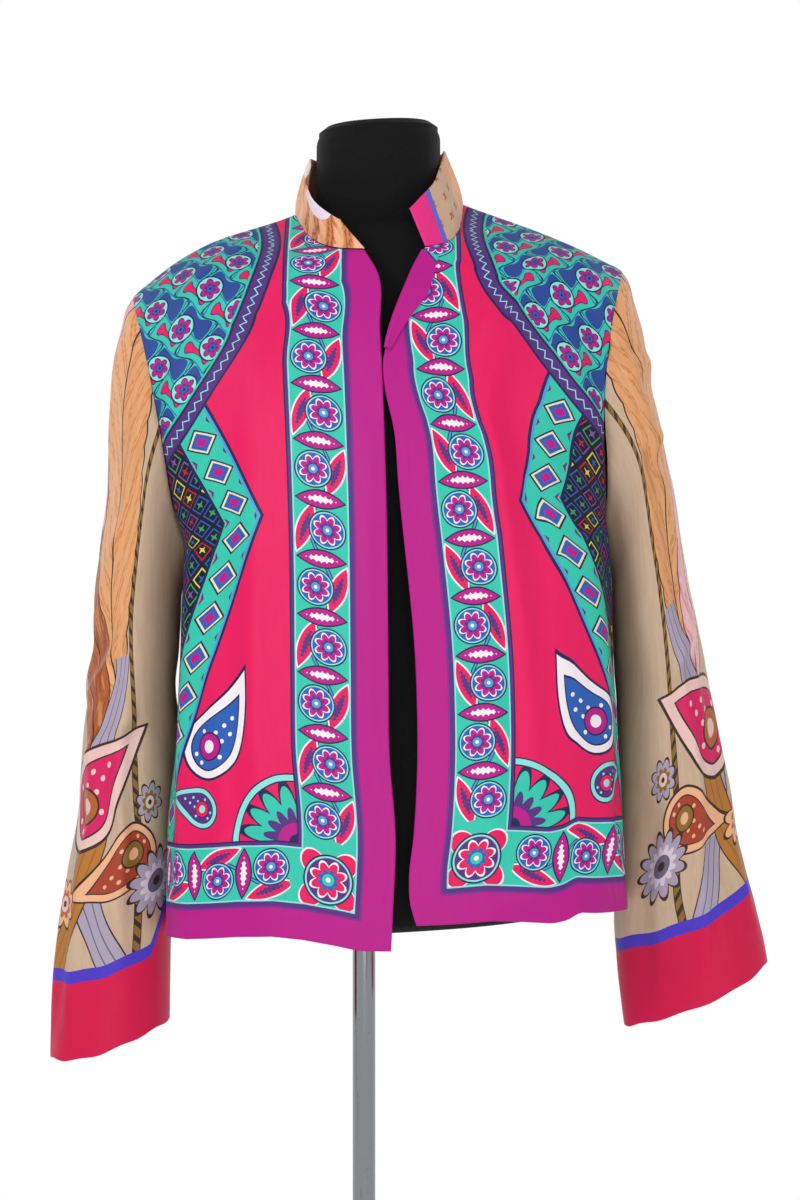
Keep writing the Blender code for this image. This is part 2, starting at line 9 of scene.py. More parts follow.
import bpy
import numpy as np
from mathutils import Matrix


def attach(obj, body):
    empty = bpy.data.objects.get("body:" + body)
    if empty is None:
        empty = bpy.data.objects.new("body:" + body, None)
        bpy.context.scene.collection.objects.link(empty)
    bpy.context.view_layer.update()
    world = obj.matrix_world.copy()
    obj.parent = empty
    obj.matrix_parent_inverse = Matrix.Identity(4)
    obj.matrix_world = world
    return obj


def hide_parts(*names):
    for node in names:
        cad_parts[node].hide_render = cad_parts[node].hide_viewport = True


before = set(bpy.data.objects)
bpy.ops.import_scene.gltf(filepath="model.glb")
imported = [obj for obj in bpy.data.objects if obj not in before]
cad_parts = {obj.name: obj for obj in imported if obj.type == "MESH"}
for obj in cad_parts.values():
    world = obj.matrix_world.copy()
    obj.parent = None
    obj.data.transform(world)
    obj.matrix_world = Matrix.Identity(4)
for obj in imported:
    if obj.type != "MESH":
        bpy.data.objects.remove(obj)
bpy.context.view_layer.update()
bpy.ops.object.select_all(action="DESELECT")


# Camera, at chest height and level, as far off as the jacket's perspective asks.

CAMERA_PLACE = (0.030, -2.5, 1.0)
CAMERA_LENS = 90

camera_data = bpy.data.cameras.new("camera")
camera_data.lens = CAMERA_LENS
camera_data.sensor_width = 36
camera = bpy.data.objects.new("camera", camera_data)
camera.location = CAMERA_PLACE
camera.rotation_euler = (math.radians(90), 0, 0)
bpy.context.scene.collection.objects.link(camera)
bpy.context.scene.camera = camera


# Floor and studio light: a wide pale floor that brightens outwards into the white surround, a
# large soft key from the front left, a fill from the front and two lights from behind. The room
# is dimmer than the white it stands before, and dark low down on the left, as chrome shows it.

FLOOR_RADIUS = 14.0
FLOOR_FADE = (0.9, 2.4)
FLOOR_COLOUR = (0.86, 0.86, 0.86, 1)
WHITE_LIGHT = (1, 1, 1, 1)
STUDIO_WHITE = 1.0
ROOM_LIGHT = 0.56
# The dark part of the room: its light, and how far it reaches up and down, to the back and right.
FLAG_LIGHT = 0.04
FLAG_HEIGHT, FLAG_BACK, FLAG_RIGHT = 0.30, 0.55, 0.30
LOOK_AT = (0.03, 0.0, 1.05)


class Wire:
    """A node's output that takes part in Python sums, each of which adds its Math node."""

    def __init__(self, tree, socket):
        self.tree = tree
        self.socket = socket

    def math(self, operation, *others, first=None):
        values = [self, *others] if first is None else [first, self]
        return add(self.tree, "Math", list(enumerate(values)), operation=operation)

    def __add__(self, other):
        return self.math("ADD", other)

    def __sub__(self, other):
        return self.math("SUBTRACT", other)

    def __mul__(self, other):
        return self.math("MULTIPLY", other)

    def __truediv__(self, other):
        return self.math("DIVIDE", other)

    def __pow__(self, other):
        return self.math("POWER", other)

    def __rsub__(self, other):
        return self.math("SUBTRACT", first=other)

    def __gt__(self, other):
        return self.math("GREATER_THAN", other)

    def __lt__(self, other):
        return self.math("LESS_THAN", other)

    def __or__(self, other):
        return self.math("MAXIMUM", other)

    def __and__(self, other):
        return self.math("MINIMUM", other)

    def __abs__(self):
        return self.math("ABSOLUTE")

    __radd__ = __add__
    __rmul__ = __mul__


def add(tree, kind, inputs=(), output=0, **settings):
    """Any shader node, from its type, its settings and the values or wires of its sockets."""
    node = tree.nodes.new("ShaderNode" + kind)
    for name, value in settings.items():
        setattr(node, name, value)
    for key, value in inputs:
        if isinstance(value, Wire):
            tree.links.new(value.socket, node.inputs[key])
        else:
            node.inputs[key].default_value = value
    return Wire(tree, node.outputs[output])


def start_material(name, roughness, metallic=0.0, **fixed):
    """A Principled material and its tree, with the values that are the same all over."""
    made = bpy.data.materials.new(name)
    made.use_nodes = True
    shader = made.node_tree.nodes["Principled BSDF"]
    shader.inputs["Roughness"].default_value = roughness
    shader.inputs["Metallic"].default_value = metallic
    for key, value in fixed.items():
        shader.inputs[key.replace("_", " ")].default_value = value
    return made, made.node_tree, shader


def object_place(tree):
    return add(tree, "TexCoord", output="Object")


def parts_of(vector):
    """The three coordinates of a place."""
    return [add(vector.tree, "SeparateXYZ", ((0, vector),), output=k) for k in range(3)]


def area_light(name, place, size, power):
    """A lamp that looks at the jacket's chest."""
    light = bpy.data.lights.new(name, "AREA")
    light.shape = "RECTANGLE"
    light.size, light.size_y = size
    light.energy = power
    lamp = bpy.data.objects.new(name, light)
    lamp.location = place
    away = [LOOK_AT[k] - place[k] for k in range(3)]
    flat = math.hypot(away[0], away[1])
    lamp.rotation_euler = (math.atan2(flat, -away[2]), 0, math.atan2(-away[0], away[1]))
    bpy.context.scene.collection.objects.link(lamp)


floor_material, tree, shader = start_material(
    "pale_floor", 0.6, Base_Color=FLOOR_COLOUR, Specular_IOR_Level=0.2)
x, y, z = parts_of(object_place(tree))
radius = (x * x + y * y) ** 0.5
span = (("Value", radius), ("From Min", FLOOR_FADE[0]), ("From Max", FLOOR_FADE[1]))
fade = add(tree, "MapRange", span, interpolation_type="SMOOTHSTEP")
glow = add(tree, "Emission", (("Color", WHITE_LIGHT), ("Strength", STUDIO_WHITE)))
both = ((0, fade), (1, Wire(tree, shader.outputs[0])), (2, glow))
tree.links.new(add(tree, "MixShader", both).socket, tree.nodes["Material Output"].inputs["Surface"])

bpy.ops.mesh.primitive_circle_add(vertices=128, radius=FLOOR_RADIUS, fill_type="NGON")
floor = bpy.context.object
floor.name = "floor"
floor.data.materials.append(floor_material)
floor.select_set(False)

world = bpy.data.worlds.new("studio")
world.use_nodes = True
tree = world.node_tree
x, y, z = parts_of(add(tree, "TexCoord", output="Generated"))
flag = (abs(z) < FLAG_HEIGHT) * (y < FLAG_BACK) * (x < FLAG_RIGHT)
room_light = ROOM_LIGHT - flag * (ROOM_LIGHT - FLAG_LIGHT)
room = add(tree, "Background", (("Color", WHITE_LIGHT), ("Strength", room_light)))
surround = add(tree, "Background", (("Color", WHITE_LIGHT), ("Strength", STUDIO_WHITE)))
seen = add(tree, "LightPath", output="Is Camera Ray")
mixed = add(tree, "MixShader", ((0, seen), (1, room), (2, surround)))
tree.links.new(mixed.socket, tree.nodes["World Output"].inputs["Surface"])
bpy.context.scene.world = world
bpy.context.scene.view_settings.view_transform = "Standard"

area_light("key", (-1.9, -2.2, 2.4), (0.9, 0.9), 30)
area_light("fill", (0.2, -2.9, 1.2), (1.6, 1.6), 25)
area_light("rim_left", (-1.9, 1.8, 1.9), (0.9, 1.6), 10)
area_light("rim_right", (2.0, 1.7, 2.0), (0.9, 1.6), 10)


# Foot plate: a round steel plate with a turned hub that takes the pole, painted satin black.
# The hub is held by a grub screw at its back.

PLATE_RADIUS = 0.150
PLATE_THICKNESS = 0.008
HUB_RADIUS = 0.020
HUB_HEIGHT = 0.030
POLE_RADIUS = 0.0095
GAP = 0.0003
PLATE_EDGE, HUB_EDGE, HUB_FOOT = 0.003, 0.004, 0.003
SCREW_RADIUS, SCREW_LENGTH, SCREW_Z = 0.0030, 0.0022, 0.019
SCREW_STANDS_OUT = 0.0006
SOCKET_INSET, SOCKET_DEPTH = 0.0014, 0.0012
SOFT_ANGLE = math.radians(35)


def srgb(code):
    """Linear colour of a six-digit web colour."""
    parts = [int(code[k:k + 2], 16) / 255 for k in (0, 2, 4)]
    return tuple(part / 12.92 if part < 0.04045 else ((part + 0.055) / 1.055) ** 2.4 for part in parts)


def paint(ground, mask, colour):
    """Lays a colour over a ground where the mask is one."""
    fresh = colour if isinstance(colour, Wire) else (*colour, 1.0)
    under = ground if isinstance(ground, Wire) else (*ground, 1.0)
    inputs = ((0, mask), (6, under), (7, fresh))
    return add(mask.tree, "Mix", inputs, output=2, data_type="RGBA")


def noise(tree, place, scale, detail=2.0, rough=0.5):
    inputs = (("Vector", place), ("Scale", scale), ("Detail", detail), ("Roughness", rough))
    return add(tree, "TexNoise", inputs, output="Fac")


def between(value, low, high):
    """One where the value lies between two limits."""
    return (value > low) * (value < high)


def plug(shader, socket, value):
    value.tree.links.new(value.socket, shader.inputs[socket])


def bump(shader, height, distance, strength):
    inputs = (("Height", height), ("Distance", distance), ("Strength", strength))
    plug(shader, "Normal", add(height.tree, "Bump", inputs, output="Normal"))


def turned(name, profile, steps):
    """A shape of revolution round the pole's axis, from radius and height pairs."""
    points = [(radius, 0.0, height) for radius, height in profile]
    mesh = bpy.data.meshes.new(name)
    mesh.from_pydata(points, [(k, k + 1) for k in range(len(points) - 1)], [])
    made = bpy.data.objects.new(name, mesh)
    bpy.context.scene.collection.objects.link(made)
    bpy.context.view_layer.objects.active = made
    made.select_set(True)
    bpy.ops.object.mode_set(mode="EDIT")
    bpy.ops.mesh.select_all(action="SELECT")
    bpy.ops.mesh.spin(steps=steps, angle=2 * math.pi, center=(0, 0, 0), axis=(0, 0, 1))
    bpy.ops.mesh.select_all(action="SELECT")
    bpy.ops.mesh.remove_doubles(threshold=0.00005)
    bpy.ops.mesh.normals_make_consistent(inside=False)
    bpy.ops.object.mode_set(mode="OBJECT")
    bpy.ops.object.shade_smooth_by_angle(angle=SOFT_ANGLE)
    made.select_set(False)
    return made


def rounded(radius, top, edge, steps=4):
    """A profile's rounded upper edge, from its top face round to its side."""
    turns = [math.radians(90 - 90 * step / steps) for step in range(steps + 1)]
    return [(radius - edge + edge * math.cos(turn), top - edge + edge * math.sin(turn)) for turn in turns]


bore = POLE_RADIUS + GAP
plate_profile = [(0.0, PLATE_THICKNESS), (bore, PLATE_THICKNESS), (bore, HUB_HEIGHT)]
plate_profile += rounded(HUB_RADIUS, HUB_HEIGHT, HUB_EDGE)
plate_profile += [(HUB_RADIUS, PLATE_THICKNESS + HUB_FOOT),
                  (HUB_RADIUS + HUB_FOOT / 3, PLATE_THICKNESS + 0.0008),
                  (HUB_RADIUS + HUB_FOOT, PLATE_THICKNESS)]
plate_profile += rounded(PLATE_RADIUS, PLATE_THICKNESS, PLATE_EDGE)
plate_profile += [(PLATE_RADIUS, 0.001), (PLATE_RADIUS - 0.001, 0.0), (0.0, 0.0)]
foot_plate = turned("foot_plate", plate_profile, 96)

painted, tree, shader = start_material("satin_black_paint", 0.42)
grain = noise(tree, object_place(tree), 900.0, 2.0)
scuff = noise(tree, object_place(tree), 18.0, 4.0)
plug(shader, "Base Color", paint(srgb("1a1a1b"), between(scuff, 0.62, 1.0) * 0.35, srgb("4a4947")))
plug(shader, "Roughness", 0.34 + scuff * 0.22)
bump(shader, grain, 0.00005, 0.5)
foot_plate.data.materials.append(painted)
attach(foot_plate, "root")
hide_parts("base_plate")

bpy.ops.mesh.primitive_cylinder_add(vertices=20, radius=SCREW_RADIUS, depth=SCREW_LENGTH,
                                    location=(0, HUB_RADIUS + SCREW_STANDS_OUT, SCREW_Z),
                                    rotation=(math.radians(90), 0, 0))
grub_screw = bpy.context.object
grub_screw.name = "grub_screw"
bpy.ops.object.mode_set(mode="EDIT")
bpy.ops.mesh.select_all(action="DESELECT")
bpy.ops.object.mode_set(mode="OBJECT")
for face in grub_screw.data.polygons:
    face.select = len(face.vertices) > 4 and face.center.z < 0
bpy.ops.object.mode_set(mode="EDIT")
bpy.ops.mesh.select_mode(type="FACE")
bpy.ops.mesh.inset(thickness=SOCKET_INSET)
bpy.ops.mesh.extrude_region_move(TRANSFORM_OT_translate={"value": (0, -SOCKET_DEPTH, 0)})
bpy.ops.object.mode_set(mode="OBJECT")
bpy.ops.object.transform_apply(location=True, rotation=True, scale=True)
bpy.ops.object.shade_smooth_by_angle(angle=SOFT_ANGLE)
grub_screw.select_set(False)


# Pole: a chromed steel tube, a little rubbed and spotted, that goes up into the form.

POLE_BOTTOM = PLATE_THICKNESS + GAP
POLE_TOP = 0.7314
POLE_EDGE = 0.0006

pole_profile = [(0.0, POLE_BOTTOM), (POLE_RADIUS - POLE_EDGE, POLE_BOTTOM)]
pole_profile += [(POLE_RADIUS, POLE_BOTTOM + POLE_EDGE)]
pole_profile += [(POLE_RADIUS, POLE_BOTTOM + (POLE_TOP - POLE_BOTTOM) * k / 6) for k in range(1, 6)]
pole_profile += [(POLE_RADIUS, POLE_TOP - POLE_EDGE), (POLE_RADIUS - POLE_EDGE, POLE_TOP), (0.0, POLE_TOP)]
chrome_pole = turned("chrome_pole", pole_profile, 64)

chromed, tree, shader = start_material("spotted_chrome", 0.10, 1.0)
place = object_place(tree)
x, y, z = parts_of(place)
pits = between(noise(tree, place, 420.0, 2.0, 0.6), 0.70, 1.0)
rub = noise(tree, add(tree, "CombineXYZ", ((0, x * 260.0), (1, y * 260.0), (2, z * 9.0))), 1.0, 3.0, 0.6)
base = paint(srgb("85878b"), between(rub, 0.60, 1.0) * 0.5, srgb("6a6a6c"))
plug(shader, "Base Color", paint(base, pits * 0.5, srgb("5f5b57")))
plug(shader, "Roughness", 0.05 + rub * 0.10 + pits * 0.25)
bump(shader, pits + rub * 0.3, 0.00002, 0.3)
chrome_pole.data.materials.append(chromed)
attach(chrome_pole, "root")
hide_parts("pole")

grub_screw.data.materials.append(chromed)
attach(grub_screw, "root")


# Form: a hollow shell with no head or limbs, covered in black cotton jersey. It is smooth, with
# one seam round the top of the neck, where the cover is closed.

FormRow = namedtuple("FormRow", "z half_width front back middle_x")
FORM = [FormRow(*row) for row in (
    (0.7330, 0.136, -0.101, 0.090, 0.024), (0.7390, 0.146, -0.110, 0.098, 0.024),
    (0.7600, 0.150, -0.114, 0.101, 0.024), (0.8200, 0.151, -0.115, 0.101, 0.023),
    (0.9000, 0.142, -0.109, 0.096, 0.022), (0.9700, 0.134, -0.105, 0.093, 0.021),
    (1.0400, 0.136, -0.107, 0.098, 0.019), (1.1000, 0.146, -0.109, 0.104, 0.017),
    (1.1500, 0.158, -0.104, 0.108, 0.015), (1.2000, 0.171, -0.090, 0.106, 0.014),
    (1.2350, 0.177, -0.074, 0.094, 0.013), (1.2600, 0.173, -0.061, 0.080, 0.013),
    (1.2780, 0.156, -0.050, 0.070, 0.013), (1.2940, 0.119, -0.042, 0.060, 0.013),
    (1.3070, 0.078, -0.036, 0.055, 0.013), (1.3190, 0.059, -0.0410, 0.053, 0.013),
    (1.3320, 0.0540, -0.0460, 0.0525, 0.0125), (1.3520, 0.0517, -0.0500, 0.0520, 0.012),
    (1.3800, 0.0515, -0.0515, 0.0515, 0.012), (1.3900, 0.0495, -0.0490, 0.0490, 0.012),
    (1.3945, 0.0435, -0.0430, 0.0430, 0.012))]
FORM_SQUARENESS = 2.25
FORM_TILT = 0.055
FORM_SIDES = 96
NECK_MIDDLE_X = 0.013
NECK_SEAM_Z = 1.3870
NECK_RADIUS = 0.050
SEAM_DEPTH, SEAM_WIDTH = 0.0007, 0.0012


def new_mesh_object(name, vertices, faces):
    mesh = bpy.data.meshes.new(name)
    mesh.from_pydata([tuple(point) for point in vertices], [], faces)
    mesh.shade_smooth()
    made = bpy.data.objects.new(name, mesh)
    bpy.context.scene.collection.objects.link(made)
    return made


def follow(stations, values, at):
    """Values at the given stations, on a smooth curve through the known ones."""
    stations = np.asarray(stations, float)
    values = np.asarray(values, float)
    at = np.clip(np.asarray(at, float), stations[0], stations[-1])
    slopes = np.gradient(values, stations)
    low = np.clip(np.searchsorted(stations, at) - 1, 0, len(stations) - 2)
    width = stations[low + 1] - stations[low]
    share = (at - stations[low]) / width
    ease = share * share * (3 - 2 * share)
    bend_low = share * (1 - share) ** 2 * width * slopes[low]
    bend_high = share * share * (share - 1) * width * slopes[low + 1]
    return values[low] * (1 - ease) + values[low + 1] * ease + bend_low + bend_high


def column(rows, name):
    return [getattr(row, name) for row in rows]


def signed_power(value, power):
    return np.sign(value) * np.abs(value) ** power


def sine(value):
    return value.math("SINE")


form_levels = column(FORM, "z")
steps = [np.linspace(low, high, 4) for low, high in zip(form_levels, form_levels[1:])]
rows = np.unique(np.concatenate(steps))
turns = np.linspace(0, 2 * math.pi, FORM_SIDES, endpoint=False)
points = []
for level in rows:
    size = {name: float(np.interp(level, form_levels, column(FORM, name))) for name in FormRow._fields[1:]}
    across = signed_power(np.cos(turns), 2 / FORM_SQUARENESS)
    deep = signed_power(np.sin(turns), 2 / FORM_SQUARENESS)
    groove = 1 - SEAM_DEPTH / NECK_RADIUS * np.exp(-((level - NECK_SEAM_Z) / SEAM_WIDTH) ** 2)
    x = size["middle_x"] + groove * size["half_width"] * across
    y = groove * deep * np.where(deep > 0, size["back"], -size["front"])
    z = level + FORM_TILT * (x - NECK_MIDDLE_X)
    points += list(zip(x, y, z))
faces = [(ring * FORM_SIDES + step, ring * FORM_SIDES + (step + 1) % FORM_SIDES,
          (ring + 1) * FORM_SIDES + (step + 1) % FORM_SIDES, (ring + 1) * FORM_SIDES + step)
         for ring in range(len(rows) - 1) for step in range(FORM_SIDES)]
faces += [tuple(reversed(range(FORM_SIDES))), tuple(range(len(points) - FORM_SIDES, len(points)))]
form = new_mesh_object("jersey_form", points, faces)
form.data.set_sharp_from_angle(angle=math.radians(50))

jersey, tree, shader = start_material(
    "black_jersey", 0.88, Sheen_Weight=0.05, Sheen_Roughness=0.45, Specular_IOR_Level=0.25)
place = object_place(tree)
lint = noise(tree, place, 160.0, 3.0, 0.7)
x, y, z = parts_of(place)
ribs = sine(x * 2600.0) * sine(z * 1900.0)
plug(shader, "Base Color", paint(srgb("050506"), between(lint, 0.60, 1.0) * 0.4, srgb("131315")))
plug(shader, "Roughness", 0.82 + lint * 0.12)
bump(shader, ribs + lint, 0.00012, 0.6)
form.data.materials.append(jersey)
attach(form, "root")
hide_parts("dress_form")


# Back: one piece of printed silk twill without a centre seam. Each row of its skin runs from the
# centre back round to the side seam or the armhole, as part of a superellipse, and the side is
# pressed in a little behind the sleeve. Its creases are soft and lie mostly up and down.

Side = namedtuple("Side", "out tip_x mid_x pit_x hem_x tip_z pit_z hem_z neck_x neck_z arch "
                          "pinch_hem pinch_pit")
RIGHT = Side(-1, -0.1920, -0.1665, -0.1370, -0.1450, 1.2520, 1.0400, 0.7250, -0.0575, 1.3215,
             0.0130, 0.0215, 0.0160)
LEFT = Side(1, 0.2150, 0.1965, 0.1890, 0.1970, 1.2735, 1.0520, 0.7440, 0.0825, 1.3300,
            0.0045, 0.0230, 0.0180)
ARMHOLE_FRONT = 0.0620
ARMHOLE_BACK = 0.0580
CORNER_TURN = 0.30 * math.pi
PINCH_FADE = 0.080
PINCH_DEPTH = 0.060

DepthRow = namedtuple("DepthRow", "z front back")
DEPTHS = [DepthRow(*row) for row in (
    (0.72, -0.133, 0.120), (0.80, -0.132, 0.117), (0.90, -0.129, 0.113), (1.00, -0.126, 0.113),
    (1.10, -0.122, 0.118), (1.18, -0.111, 0.121), (1.24, -0.093, 0.115), (1.285, -0.072, 0.098),
    (1.335, -0.050, 0.070))]
BACK_HEM = (0.027, 0.735)
BACK_NECK = (0.013, 1.334)
NECK_BOW_FRONT = (0.0085, -0.014, -0.011)
NECK_BOW_BACK = (0.016, 0.018, -0.002)
SQUARENESS_HEM = 3.0
SQUARENESS_SHOULDER = 2.4

# Levels of a panel: 0 at the hem, then its armhole's bottom, its neckline's corner and shoulder.
LEVEL_PIT, LEVEL_CORNER, LEVEL_TOP = 8, 16, 21
LEVEL_LENGTH = 0.0385
PANEL_COLUMNS = 66
PANEL_ROWS = 168
SILK = 0.0008
SEAM = 0.0003
TURN_UP = 0.012
# How far from a seam the creases have faded away.
SEAM_REACH = 0.016
# Steps in from a free edge that carry the rolled edge's curve.
ROLL = 0.0011
ROLL_STEPS = (0.0, 0.00025, 0.0006, 0.0012, 0.0024)


def resample(points, shares):
    steps = np.linalg.norm(np.diff(points, axis=0), axis=1)
    length = np.concatenate(([0.0], np.cumsum(steps)))
    return np.stack([np.interp(shares * length[-1], length, points[:, k]) for k in range(3)], axis=1)


def pinch(side, z, y):
    if z < side.pit_z:
        up = (z - side.hem_z) / (side.pit_z - side.hem_z)
        amount = side.pinch_hem + up * (side.pinch_pit - side.pinch_hem)
    else:
        fade = max(0.0, 1 - (z - side.pit_z) / PINCH_FADE)
        amount = side.pinch_pit * fade * fade * (3 - 2 * fade)
    return amount * np.cos(np.clip(np.abs(y) / PINCH_DEPTH, 0, 1) * math.pi / 2) ** 2


def armhole(side, turn, depth):
    """Point of the armhole at a turn from its top (0) to its bottom (pi)."""
    reach = math.cos(turn)
    bottom_x = side.pit_x + side.out * side.pinch_pit
    x = (side.mid_x + (side.tip_x - bottom_x) / 2 * reach
         + ((side.tip_x + bottom_x) / 2 - side.mid_x) * reach * reach)
    y = depth * math.sin(turn)
    z = (side.tip_z + side.pit_z) / 2 + (side.tip_z - side.pit_z) / 2 * reach
    return np.array((x - side.out * pinch(side, z, y), y, z))


def neckline(corner, side, bow, share):
    neck = np.array((side.neck_x, 0.0, side.neck_z))
    bend = np.array((bow[0] * side.out, bow[1], bow[2])) * math.sin(math.pi * share)
    return corner + share * (neck - corner) + bend


def centre_point(rows, z):
    """Point of a front's free edge, or of the centre back, at a height."""
    if rows:
        x = follow(column(rows, "z"), column(rows, "x"), z)
        y = follow(column(DEPTHS, "z"), column(DEPTHS, "front"), z)
    else:
        x = BACK_HEM[0] + (z - BACK_HEM[1]) / (BACK_NECK[1] - BACK_HEM[1]) * (BACK_NECK[0] - BACK_HEM[0])
        y = follow(column(DEPTHS, "z"), column(DEPTHS, "back"), z)
    return np.array((float(x), float(y), z))


def row_ends(side, rows, level):
    """Both ends of a panel's row at a level: on its free edge or centre, and on its side."""
    hem_z, corner_z = (rows[0].z, rows[-1].z) if rows else (BACK_HEM[1], BACK_NECK[1])
    pit_z = side.pit_z if rows else (RIGHT.pit_z + LEFT.pit_z) / 2
    if level <= LEVEL_PIT:
        up = level / LEVEL_PIT
        edge = (side.hem_x + up * (side.pit_x - side.hem_x), 0.0, side.hem_z + up * (side.pit_z - side.hem_z))
        return centre_point(rows, hem_z + up * (pit_z - hem_z)), np.array(edge)
    depth = -ARMHOLE_FRONT if rows else ARMHOLE_BACK
    if level <= LEVEL_CORNER:
        up = (level - LEVEL_PIT) / (LEVEL_CORNER - LEVEL_PIT)
        turn = math.pi + up * (CORNER_TURN - math.pi)
        return centre_point(rows, pit_z + up * (corner_z - pit_z)), armhole(side, turn, depth)
    up = (level - LEVEL_CORNER) / (LEVEL_TOP - LEVEL_CORNER)
    bow = NECK_BOW_FRONT if rows else NECK_BOW_BACK
    start = neckline(centre_point(rows, corner_z), side, bow, up)
    return start, armhole(side, CORNER_TURN * (1 - up), depth)


def body_row(side, centre, edge, sweep, squareness, shares):
    turn = np.linspace(0, sweep, 181)
    across = (np.sin(turn) / math.sin(sweep)) ** (2 / squareness)
    deep = 1 - np.cos(turn) ** (2 / squareness)
    deep /= deep[-1]
    edge_x = edge[0] + side.out * pinch(side, edge[2], edge[1])
    x = centre[0] + (edge_x - centre[0]) * across
    y = centre[1] + (edge[1] - centre[1]) * deep
    z = centre[2] + (edge[2] - centre[2]) * across
    x -= side.out * pinch(side, edge[2], y)
    return resample(np.stack((x, y, z), axis=1), shares)


def half_panel(side, rows, levels, shares):
    """Skin of a front, or of half the back: a row of points at each level."""
    grid = []
    for level in levels:
        centre, edge = row_ends(side, rows, level)
        above = max(0.0, level - LEVEL_PIT) / (LEVEL_TOP - LEVEL_PIT)
        squareness = SQUARENESS_HEM + (SQUARENESS_SHOULDER - SQUARENESS_HEM) * above
        if level <= LEVEL_CORNER:
            sweep = math.acos((edge[1] / centre[1]) ** (squareness / 2))
        row = body_row(side, centre, edge, sweep, squareness, shares)
        on_shoulder = max(0.0, level - LEVEL_CORNER) / (LEVEL_TOP - LEVEL_CORNER)
        row[:, 2] += side.arch * on_shoulder * np.sin(math.pi * shares ** 1.35)
        grid.append(row)
    return np.array(grid)


def edge_steps(count, length):
    """Shares from 0 to 1 that lie close together at the start, where an edge is rolled."""
    rolled = np.array(ROLL_STEPS) / length
    return np.concatenate((rolled, np.linspace(rolled[-1], 1, count)[1:]))


def running(steps):
    """Sum along the first axis that starts at zero."""
    return np.concatenate((np.zeros_like(steps[:1]), np.cumsum(steps, axis=0)))


def flatten(grid, levels):
    """The cloth's own flat coordinates: u across from the centre, v up from the hem.

    Above the neckline's corner the print runs straight up to the shoulder."""
    down = np.diff(grid, axis=0)
    across = np.diff(grid, axis=1)
    v = running(np.hypot(down[..., 1], down[..., 2]))
    u = running(np.hypot(across[..., 0], across[..., 1]).T).T
    corner = int(np.flatnonzero(levels <= LEVEL_CORNER)[-1])
    out = np.sign(grid[0, -1, 0] - grid[0, 0, 0])
    base_x, base_u = out * grid[corner, :, 0], u[corner]
    for row in range(corner + 1, len(levels)):
        x = out * grid[row, :, 0]
        u[row] = np.interp(x, base_x, base_u) + np.maximum(0, x - base_x[-1])
    return u, v


def skin_normals(grid, closed=False):
    if closed:
        along = np.roll(grid, -1, axis=1) - np.roll(grid, 1, axis=1)
    else:
        along = np.gradient(grid, axis=1)
    normals = np.cross(along, np.gradient(grid, axis=0))
    return normals / np.maximum(np.linalg.norm(normals, axis=2, keepdims=True), 1e-12)


# Soft relief of the cloth. A crease runs between two places of a piece's flat cloth, bowed a
# little, as a ridge with a shallow trough beside it, or the other way round.
Crease = namedtuple("Crease", "u0 v0 u1 v1 bow width depth")


def crease_relief(u, v, creases):
    relief = np.zeros_like(u)
    for crease in creases:
        du, dv = crease.u1 - crease.u0, crease.v1 - crease.v0
        length = math.hypot(du, dv)
        along = ((u - crease.u0) * du + (v - crease.v0) * dv) / length ** 2
        across = ((u - crease.u0) * dv - (v - crease.v0) * du) / length
        across = across - crease.bow * 4 * along * (1 - along)
        taper = np.sin(math.pi * np.clip(along, 0, 1)) ** 0.7
        width = crease.width * (0.75 + 0.5 * np.clip(along, 0, 1))
        ridge = np.exp(-(across / width) ** 2)
        beside = np.exp(-((across - 1.9 * width) / (1.4 * width)) ** 2)
        relief += crease.depth * taper * (ridge - 0.5 * beside)
    return relief


def crumple(points):
    """Slight unevenness of pressed silk, the same on both sides of a seam."""
    x, y, z = (points[..., k] for k in range(3))
    broad = np.sin(31 * x + 9 * z + 2.0 * np.sin(13 * z + 11 * y)) * np.sin(23 * z - 17 * y + 1.3)
    fine = np.sin(83 * x - 47 * z + 1.7 * np.sin(37 * y + 29 * z)) * np.sin(71 * z + 59 * y + 0.4)
    return 0.0007 * broad + 0.00022 * fine


def fade_in(distance, width):
    share = np.clip(distance / width, 0, 1)
    return share * share * (3 - 2 * share)


def rolled(distance):
    """How far a rolled edge's skin curves in at a distance from the edge."""
    inside = np.clip(ROLL - distance, 0, ROLL)
    return ROLL - np.sqrt(ROLL ** 2 - inside ** 2)


def cloth_object(name, grid, u, v, doubled, closed, finish, flip):
    """A thin closed sheet of cloth from its outer skin, with a flat map in metres."""
    rows, columns = grid.shape[:2]
    count = columns if closed else columns - 1
    faces, corners = [], []
    for row in range(rows - 1):
        for step in range(count):
            ring = ((row, step), (row, step + 1), (row + 1, step + 1), (row + 1, step))
            ring = ring[::-1] if flip else ring
            faces.append([a * columns + b % columns for a, b in ring])
            corners += [(u[a, b], v[a, b]) for a, b in ring]
    made = new_mesh_object(name, grid.reshape(-1, 3), faces)
    layer = made.data.uv_layers.new(name="flat_cloth")
    layer.data.foreach_set("uv", np.array(corners, np.float32).ravel())
    group = made.vertex_groups.new(name="thickness")
    doubled = doubled.reshape(-1)
    group.add([int(k) for k in np.flatnonzero(doubled <= 0.5)], 0.5, "REPLACE")
    group.add([int(k) for k in np.flatnonzero(doubled > 0.5)], 1.0, "REPLACE")
    made.data.materials.append(finish)
    bpy.context.view_layer.objects.active = made
    wall = made.modifiers.new("wall", "SOLIDIFY")
    wall.thickness = 2 * SILK
    wall.offset = -1
    wall.vertex_group = "thickness"
    wall.use_even_offset = False
    bpy.ops.object.modifier_apply(modifier=wall.name)
    made.data.set_sharp_from_angle(angle=math.radians(60))
    return made


# Print of the body: plain magenta bands along the free edges and hem, a turquoise border with a
# waving vine and round flowers, a plain rose field, a pointed side border of lozenges before a
# dark trellis, and a round turquoise yoke of roundels and tendrils. All sizes are in metres.

